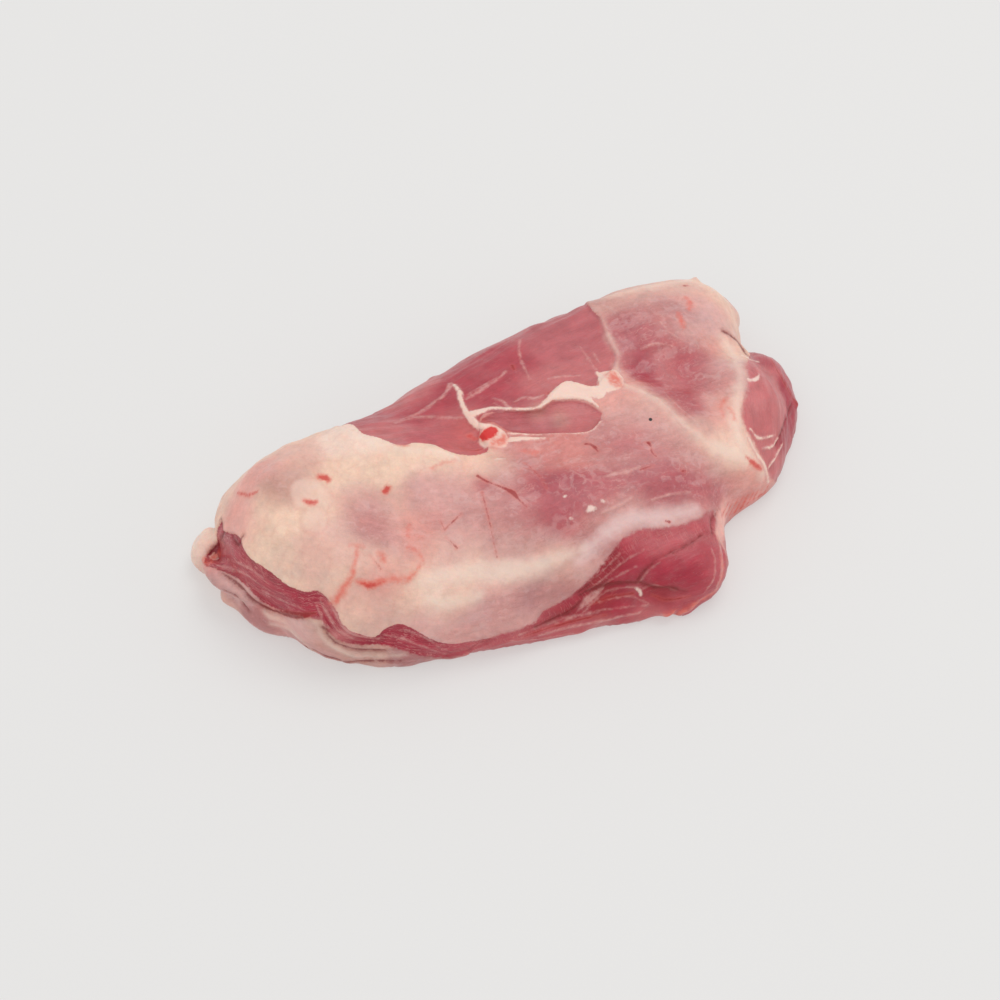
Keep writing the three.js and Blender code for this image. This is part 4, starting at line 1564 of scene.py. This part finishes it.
@dataclass(frozen=True)
class MeatFinish:
    """Colour, moisture and fine relief of the fat, film and muscle."""

    sinew_colour: Colour = (253, 220, 203)
    veil_colour: Colour = (234, 182, 173)
    seam_colour: Colour = (255, 230, 212)
    silver_colour: Colour = (246, 214, 208)
    rim_colour: Colour = (222, 150, 142)
    stain_colour: Colour = (236, 120, 104)
    blood_colour: Colour = (212, 62, 52)
    clot_colour: Colour = (224, 24, 42)
    # Dark red of the vessels, also used as painted shade in gaps, nicks and beside folds.
    vein_and_shade_colour: Colour = (164, 26, 36)
    speck_colour: Colour = (255, 230, 216)
    # Painted shade: the dark red given to creases, folds and gaps between parts.
    crease_shade_colour: Colour = (136, 22, 38)
    fibre_colour: Colour = (232, 168, 160)
    deep_colour: Colour = (150, 56, 66)
    thin_film_colour: Colour = (196, 140, 138)
    warm_cast: Colour = (1.05, 0.92, 0.90)
    cool_cast: Colour = (0.92, 0.95, 0.99)
    dot_colour: Colour = (12, 8, 8)
    dot_radius_mm: float = 1.1
    dot_seen: Pixel = (650.5, 419.5)
    scatter: float = 0.2
    scatter_scale: float = 0.0018
    scatter_reach: Colour = (1.0, 0.35, 0.2)
    coat: float = 0.25
    coat_roughness: float = 0.28
    refraction: float = 1.4
    relief_strength: float = 0.8
    roughness: float = 0.47
    muscle_moisture: float = 0.06
    roughness_spread: float = 0.4

    def muscle_share(self, graph: Graph, ragged: Wire) -> Wire:
        """Says where bare muscle shows.

        Args:
            graph: The material's nodes.
            ragged: Small shifts of the edges, in mm.

        Returns:
            0 on fat and film, 1 on muscle.
        """
        edges = {
            Cut.FLANK: (0.8, 0.35),
            Cut.WINDOW: (0.6, 0.6),
            Cut.BAND: (0.9, 0.5),
            Cut.FRONT: (1.4, 1.2),
            Cut.END: (1.4, 1.6),
        }
        share = graph.wire("ShaderNodeValue")
        for cut, (shift, blend) in edges.items():
            share = share.at_least((graph.field(cut.value) + ragged * shift).rise(-blend, blend))
        return share

    def cover(self, graph: Graph, place: Wire, run: Wire) -> Wire:
        """Colour of the fat and film.

        Args:
            graph: The material's nodes.
            place: Place in mm.
            run: Place along and across the film's fibres, in mm.

        Returns:
            The colour.
        """
        tone = graph.field("cover_tone", "Color")
        fat = graph.part(tone, 1).rise(0.3, 0.52)
        film = 1 - fat
        clouds = graph.grain(place, 15, 3, 1) * 0.2 + graph.grain(place, 4.6, 3, 2) * 0.3
        clouds = clouds + graph.grain(place, 1.9, 2, 33) * 0.14
        streaks = graph.fibres(run, 0.05, 0.42, 4, 3) * (0.08 + film * 0.24)
        granules = graph.grain(place, 0.7, 1, 4) * 0.12
        tone = tone * (1 + clouds + streaks + granules)
        mottles = graph.grain(place, 2.4, 4, 34).rise(0.02, 0.25)
        mottles = mottles * graph.grain(place, 13, 2, 35).rise(-0.1, 0.1)
        tone = graph.mix(mottles * film * 0.2, tone, matt(self.silver_colour))
        sheets = graph.fibres(run, 0.04, 0.13, 5, 36)
        tone = graph.mix(sheets.rise(-0.04, 0.2) * film * 0.14, tone, matt(self.silver_colour))
        tone = graph.mix(sheets.rise(0.03, 0.11) * film * 0.06, tone, matt(self.silver_colour))
        warm = graph.grain(place, 13, 3, 5).rise(0.0, 0.2)
        tone = graph.mix(warm * 0.4, tone, tone * self.warm_cast)
        cool = graph.grain(place, 17, 3, 6).rise(-0.02, 0.2)
        tone = graph.mix(cool * 0.7, tone, tone * self.cool_cast)
        lobes = graph.cells(place + graph.grain(place, 6, 2, 7) * 7.0, 10.0)
        tone = graph.mix(lobes.ridge(0.09) * fat * 0.3, tone, tone * self.warm_cast * 0.9)
        faint = graph.grain(place, 14, 2, 8).rise(-0.08, 0.14)
        wisps = graph.fibres(run, 0.04, 0.24, 4, 9).ridge(0.03) * faint
        tone = graph.mix(wisps * (0.1 + film * 0.16), tone, matt(self.veil_colour))
        threads = graph.fibres(run, 0.05, 0.3, 3, 10).ridge(0.012) * film * (1 - faint)
        tone = graph.mix(threads * 0.2, tone, matt(self.deep_colour))
        thin = graph.field(Cut.FRONT.value).rise(-4.5, 0.5) * (0.4 + graph.grain(place, 4, 3, 11) * 1.4)
        return graph.mix(thin, tone, matt(self.thin_film_colour))

    def muscle(self, graph: Graph, place: Wire, run: Wire) -> Wire:
        """Colour of the bare muscle.

        Args:
            graph: The material's nodes.
            place: Place in mm.
            run: Place along and across the fibres, in mm.

        Returns:
            The colour.
        """
        depth = graph.field(Cut.FRONT.value)
        rim = depth.rise(0.0, 1.5) * (1 - depth.rise(4, 11))
        band = graph.field(Cut.BAND.value).rise(0.0, 1.0)
        bundles = graph.fibres(run, 0.04, 0.24, 4, 12)
        fibres = graph.fibres(run, 0.1, 1.1, 3, 13)
        clouds = graph.grain(place, 7, 5, 14)
        tone = graph.field("muscle_tone", "Color")
        tone = tone * (1 + bundles * (0.36 + band * 0.3) + fibres * 0.16 + clouds * 0.46)
        patchy = graph.grain(place, 9, 2, 16).rise(-0.1, 0.15)
        pale = graph.fibres(run, 0.05, 0.5, 4, 15).ridge(0.025) * patchy
        tone = graph.mix(pale * (0.16 + band * 0.5), tone, matt(self.fibre_colour))
        deep = graph.fibres(run, 0.04, 0.36, 3, 17).ridge(0.02) * (0.16 + band * 0.5)
        tone = graph.mix(deep, tone, matt(self.deep_colour))
        combed = graph.fibres(run, 1.9, 0.2, 2, 18).rise(0.0, 0.22)
        tone = graph.mix(combed * rim * 0.26, tone, matt(self.fibre_colour))
        fine = graph.fibres(run, 0.05, 0.9, 2, 32).ridge(0.03) * band
        tone = graph.mix(fine * 0.4, tone, matt(self.fibre_colour))
        haze = graph.grain(place, 12, 4, 19).rise(0.0, 0.2) * (0.17 - band * 0.15)
        return graph.mix(haze, tone, matt(self.thin_film_colour))

    def marked(self, graph: Graph, place: Wire, tone: Wire, ragged: Wire, dot_mm: Vector) -> Wire:
        """Adds the sinews, membranes, vessels and blood, and the painted shade of creases, gaps and nicks.

        Args:
            graph: The material's nodes.
            place: Place in mm.
            tone: Colour under the marks.
            ragged: Small shifts of the edges, in mm.
            dot_mm: Where the one dark dot lies, in mm.

        Returns:
            The colour with its marks.
        """
        patchy = 0.5 + graph.grain(place, 3, 3, 30).rise(-0.2, 0.12) * 0.5
        soft = graph.grain(place, 7, 3, 31) * 6.0
        layers = (
            (Mark.LOBULE, ragged * 0.8, -2.0, -0.1, 0.16, self.rim_colour),
            (Mark.LOBULE, ragged * 0.8, -0.9, 2.4, 0.3, self.seam_colour),
            (Mark.SEAM, soft, -3.6, 3.2, 0.54, self.seam_colour),
            (Mark.SILVER, soft, -5.0, 3.0, 0.72, self.silver_colour),
            # Vessels, and lines of painted shade in gaps, nicks and beside folds, with a red halo round
            # them.
            (Mark.VEIN_AND_SHADE, ragged * 0.5, -1.5, 0.6, 0.24, self.stain_colour),
            (Mark.VEIN_AND_SHADE, ragged * 0.4, -0.3, 0.5, 0.8, self.vein_and_shade_colour),
            (Mark.VEIL, ragged * 0.9, -0.9, 1.0, 0.66, self.veil_colour),
            # Painted shade of the creases and gaps: a wide soft darkening round them, then a darker core in
            # them.
            (Mark.CREASE, ragged * 1.4, -2.6, 0.8, 0.34, self.crease_shade_colour),
            (Mark.CREASE, ragged * 0.9, -0.5, 0.7, 0.68, self.crease_shade_colour),
            (Mark.SINEW, ragged * 0.8, -1.0, 0.2, 0.5, self.veil_colour),
            (Mark.SINEW, ragged * 0.8, -0.3, 0.6, 0.92, self.sinew_colour),
            (Mark.STAIN, ragged * 1.2, -1.6, 2.2, 0.85, self.stain_colour),
            (Mark.BLOOD, ragged, -1.7, 0.8, 0.45, self.stain_colour),
            (Mark.BLOOD, ragged * 0.9, -0.6, 1.2, 0.76, self.blood_colour),
            (Mark.CLOT, ragged * 1.2, -1.6, 0.2, 0.4, self.stain_colour),
            (Mark.CLOT, ragged * 1.4, -0.3, 1.0, 0.95, self.clot_colour),
            (Mark.SPECK, ragged * 0.7, -0.6, 0.8, 0.85, self.speck_colour),
        )
        for mark, shift, low, high, most, colour in layers:
            share = (graph.field(mark.value) + shift).rise(low, high) * most
            if mark in {Mark.VEIL, Mark.STAIN}:
                share = share * patchy
            tone = graph.mix(share, tone, matt(colour))
        away = graph.wire("ShaderNodeVectorMath", {"operation": "DISTANCE"}, {0: place, 1: dot_mm}, "Value")
        dot = 1 - away.rise(self.dot_radius_mm * 0.6, self.dot_radius_mm)
        return graph.mix(dot, tone, linear(self.dot_colour))

    def height(self, graph: Graph, place: Wire, film_run: Wire, muscle_run: Wire, share: Wire) -> Wire:
        """Fine relief that is too small for the mesh.

        Args:
            graph: The material's nodes.
            place: Place in mm.
            film_run: Place along and across the film's fibres, in mm.
            muscle_run: Place along and across the muscles' fibres, in mm.
            share: 0 on fat and film, 1 on muscle.

        Returns:
            The height in mm.
        """
        fibres = graph.fibres(muscle_run, 0.1, 1.1, 4, 20) * 0.42
        fibres = fibres + graph.grain(place, 4, 3, 21) * 0.5
        film = graph.fibres(film_run, 0.08, 0.6, 3, 22) * 0.26
        lobules = graph.grain(place, 3.2, 3, 23) * 0.5 + graph.grain(place, 1.0, 2, 24) * 0.12
        strands = graph.field(Mark.VEIL.value).rise(-0.6, 0.6) * 0.25
        strands = strands + graph.field(Mark.SINEW.value).rise(-0.5, 0.5) * 0.2
        return share * fibres + (1 - share) * (film + lobules) + strands

    def material(self, dot_mm: Vector) -> bpy.types.Material:
        """Builds the meat's material.

        Args:
            dot_mm: Where the one dark dot lies, in mm.

        Returns:
            The material.
        """
        graph = Graph("veal_meat")
        place = graph.wire("ShaderNodeTexCoord", output="Object") * (1 / MM)
        film_run = graph.field("cover_grain", "Vector") + graph.grain(place, 9, 2, 25) * 5.0
        muscle_run = graph.field("muscle_grain", "Vector") + graph.grain(place, 7, 2, 26) * 3.0
        ragged = graph.grain(place, 3.0, 4, 27) * 2.6 + graph.grain(place, 0.9, 2, 28)
        share = self.muscle_share(graph, ragged)
        tone = graph.mix(share, self.cover(graph, place, film_run), self.muscle(graph, place, muscle_run))
        graph.plug(graph.shader.inputs["Base Color"], self.marked(graph, place, tone, ragged, dot_mm))

        height = self.height(graph, place, film_run, muscle_run, share)
        sockets = {"Height": height, "Distance": MM, "Strength": self.relief_strength}
        graph.plug(graph.shader.inputs["Normal"], graph.wire("ShaderNodeBump", sockets=sockets))
        spread = graph.grain(place, 4, 3, 29) * self.roughness_spread
        roughness = self.roughness - share * self.muscle_moisture + spread
        graph.plug(graph.shader.inputs["Roughness"], roughness)

        graph.plug(graph.shader.inputs["Subsurface Weight"], self.scatter)
        graph.plug(graph.shader.inputs["Subsurface Radius"], self.scatter_reach)
        graph.plug(graph.shader.inputs["Subsurface Scale"], self.scatter_scale)
        graph.plug(graph.shader.inputs["Coat Weight"], self.coat)
        graph.plug(graph.shader.inputs["Coat Roughness"], self.coat_roughness)
        graph.plug(graph.shader.inputs["IOR"], self.refraction)
        return graph.material


@dataclass(frozen=True)
class FloorFinish:
    """Plain pale light table under the joint, which softens the shadow on it."""

    colour: Colour = (170, 169, 167)
    glow_colour: Colour = (255, 254, 252)
    glow: float = 0.42
    roughness: float = 0.9

    def material(self) -> bpy.types.Material:
        """Builds the floor's material.

        Returns:
            The material.
        """
        graph = Graph("pale_floor")
        place = graph.wire("ShaderNodeTexCoord", output="Object") * (1 / MM)
        tone = (1 + graph.grain(place, 1.2, 2) * 0.03) * linear(self.colour)
        graph.plug(graph.shader.inputs["Base Color"], tone)
        graph.plug(graph.shader.inputs["Roughness"], self.roughness)
        graph.plug(graph.shader.inputs["Specular IOR Level"], 0.0)
        graph.plug(graph.shader.inputs["Emission Color"], linear(self.glow_colour))
        graph.plug(graph.shader.inputs["Emission Strength"], self.glow)
        return graph.material


@dataclass(frozen=True)
class SoftLight:
    """A large soft lamp that points at the joint."""

    name: str
    place: tuple[float, float, float]
    size: float
    power: float
    colour: Colour = (255, 253, 250)

    def build(self) -> bpy.types.Object:
        """Makes the lamp.

        Returns:
            The lamp.
        """
        bpy.ops.object.light_add(type="AREA", location=self.place)
        lamp = bpy.context.object
        lamp.name = self.name
        lamp.data.shape = "DISK"
        lamp.data.size = self.size
        lamp.data.energy = self.power
        lamp.data.color = linear(self.colour)
        lamp.rotation_euler = Vector(self.place).to_track_quat("Z", "Y").to_euler()
        return lamp


@dataclass
class Studio:
    """Floor, lamps and sky light round the joint."""

    floor_side: float = 12.0
    floor_drop_mm: float = 0.2
    sky_strength: float = 0.74
    sky_colour: Colour = (250, 251, 255)
    finish: FloorFinish = field(default_factory=FloorFinish)
    lamps: tuple[SoftLight, ...] = (
        SoftLight("main_lamp", (1.0, 0.4, 2.8), 2.0, 22.0),
        SoftLight("left_lamp", (-1.8, -1.6, 1.8), 1.6, 4.0),
        SoftLight("right_lamp", (1.9, -1.8, 1.1), 1.6, 4.0),
    )

    def build(self) -> None:
        """Makes the floor, the lamps and the sky light."""
        bpy.ops.mesh.primitive_plane_add(size=self.floor_side, location=(0, 0, -self.floor_drop_mm * MM))
        floor = bpy.context.object
        floor.name = "floor"
        floor.data.materials.append(self.finish.material())
        for lamp in self.lamps:
            lamp.build()
        world = bpy.data.worlds.new("sky_light")
        world.use_nodes = True
        sky = world.node_tree.nodes["Background"]
        sky.inputs["Color"].default_value = [*linear(self.sky_colour), 1.0]
        sky.inputs["Strength"].default_value = self.sky_strength
        bpy.context.scene.world = world
        bpy.context.scene.view_settings.view_transform = "Standard"
        log.info("studio has %d lamps", len(self.lamps))


def main() -> None:
    """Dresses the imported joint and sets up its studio."""
    logging.basicConfig(level=logging.INFO, format="%(name)s: %(message)s")
    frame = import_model()
    camera = PhotoCamera()
    camera.build()
    skin = MeatSkin(camera)
    skin.build(frame["nodes"][NODE], MeatFinish())
    Studio().build()


if __name__ == "__main__":
    main()
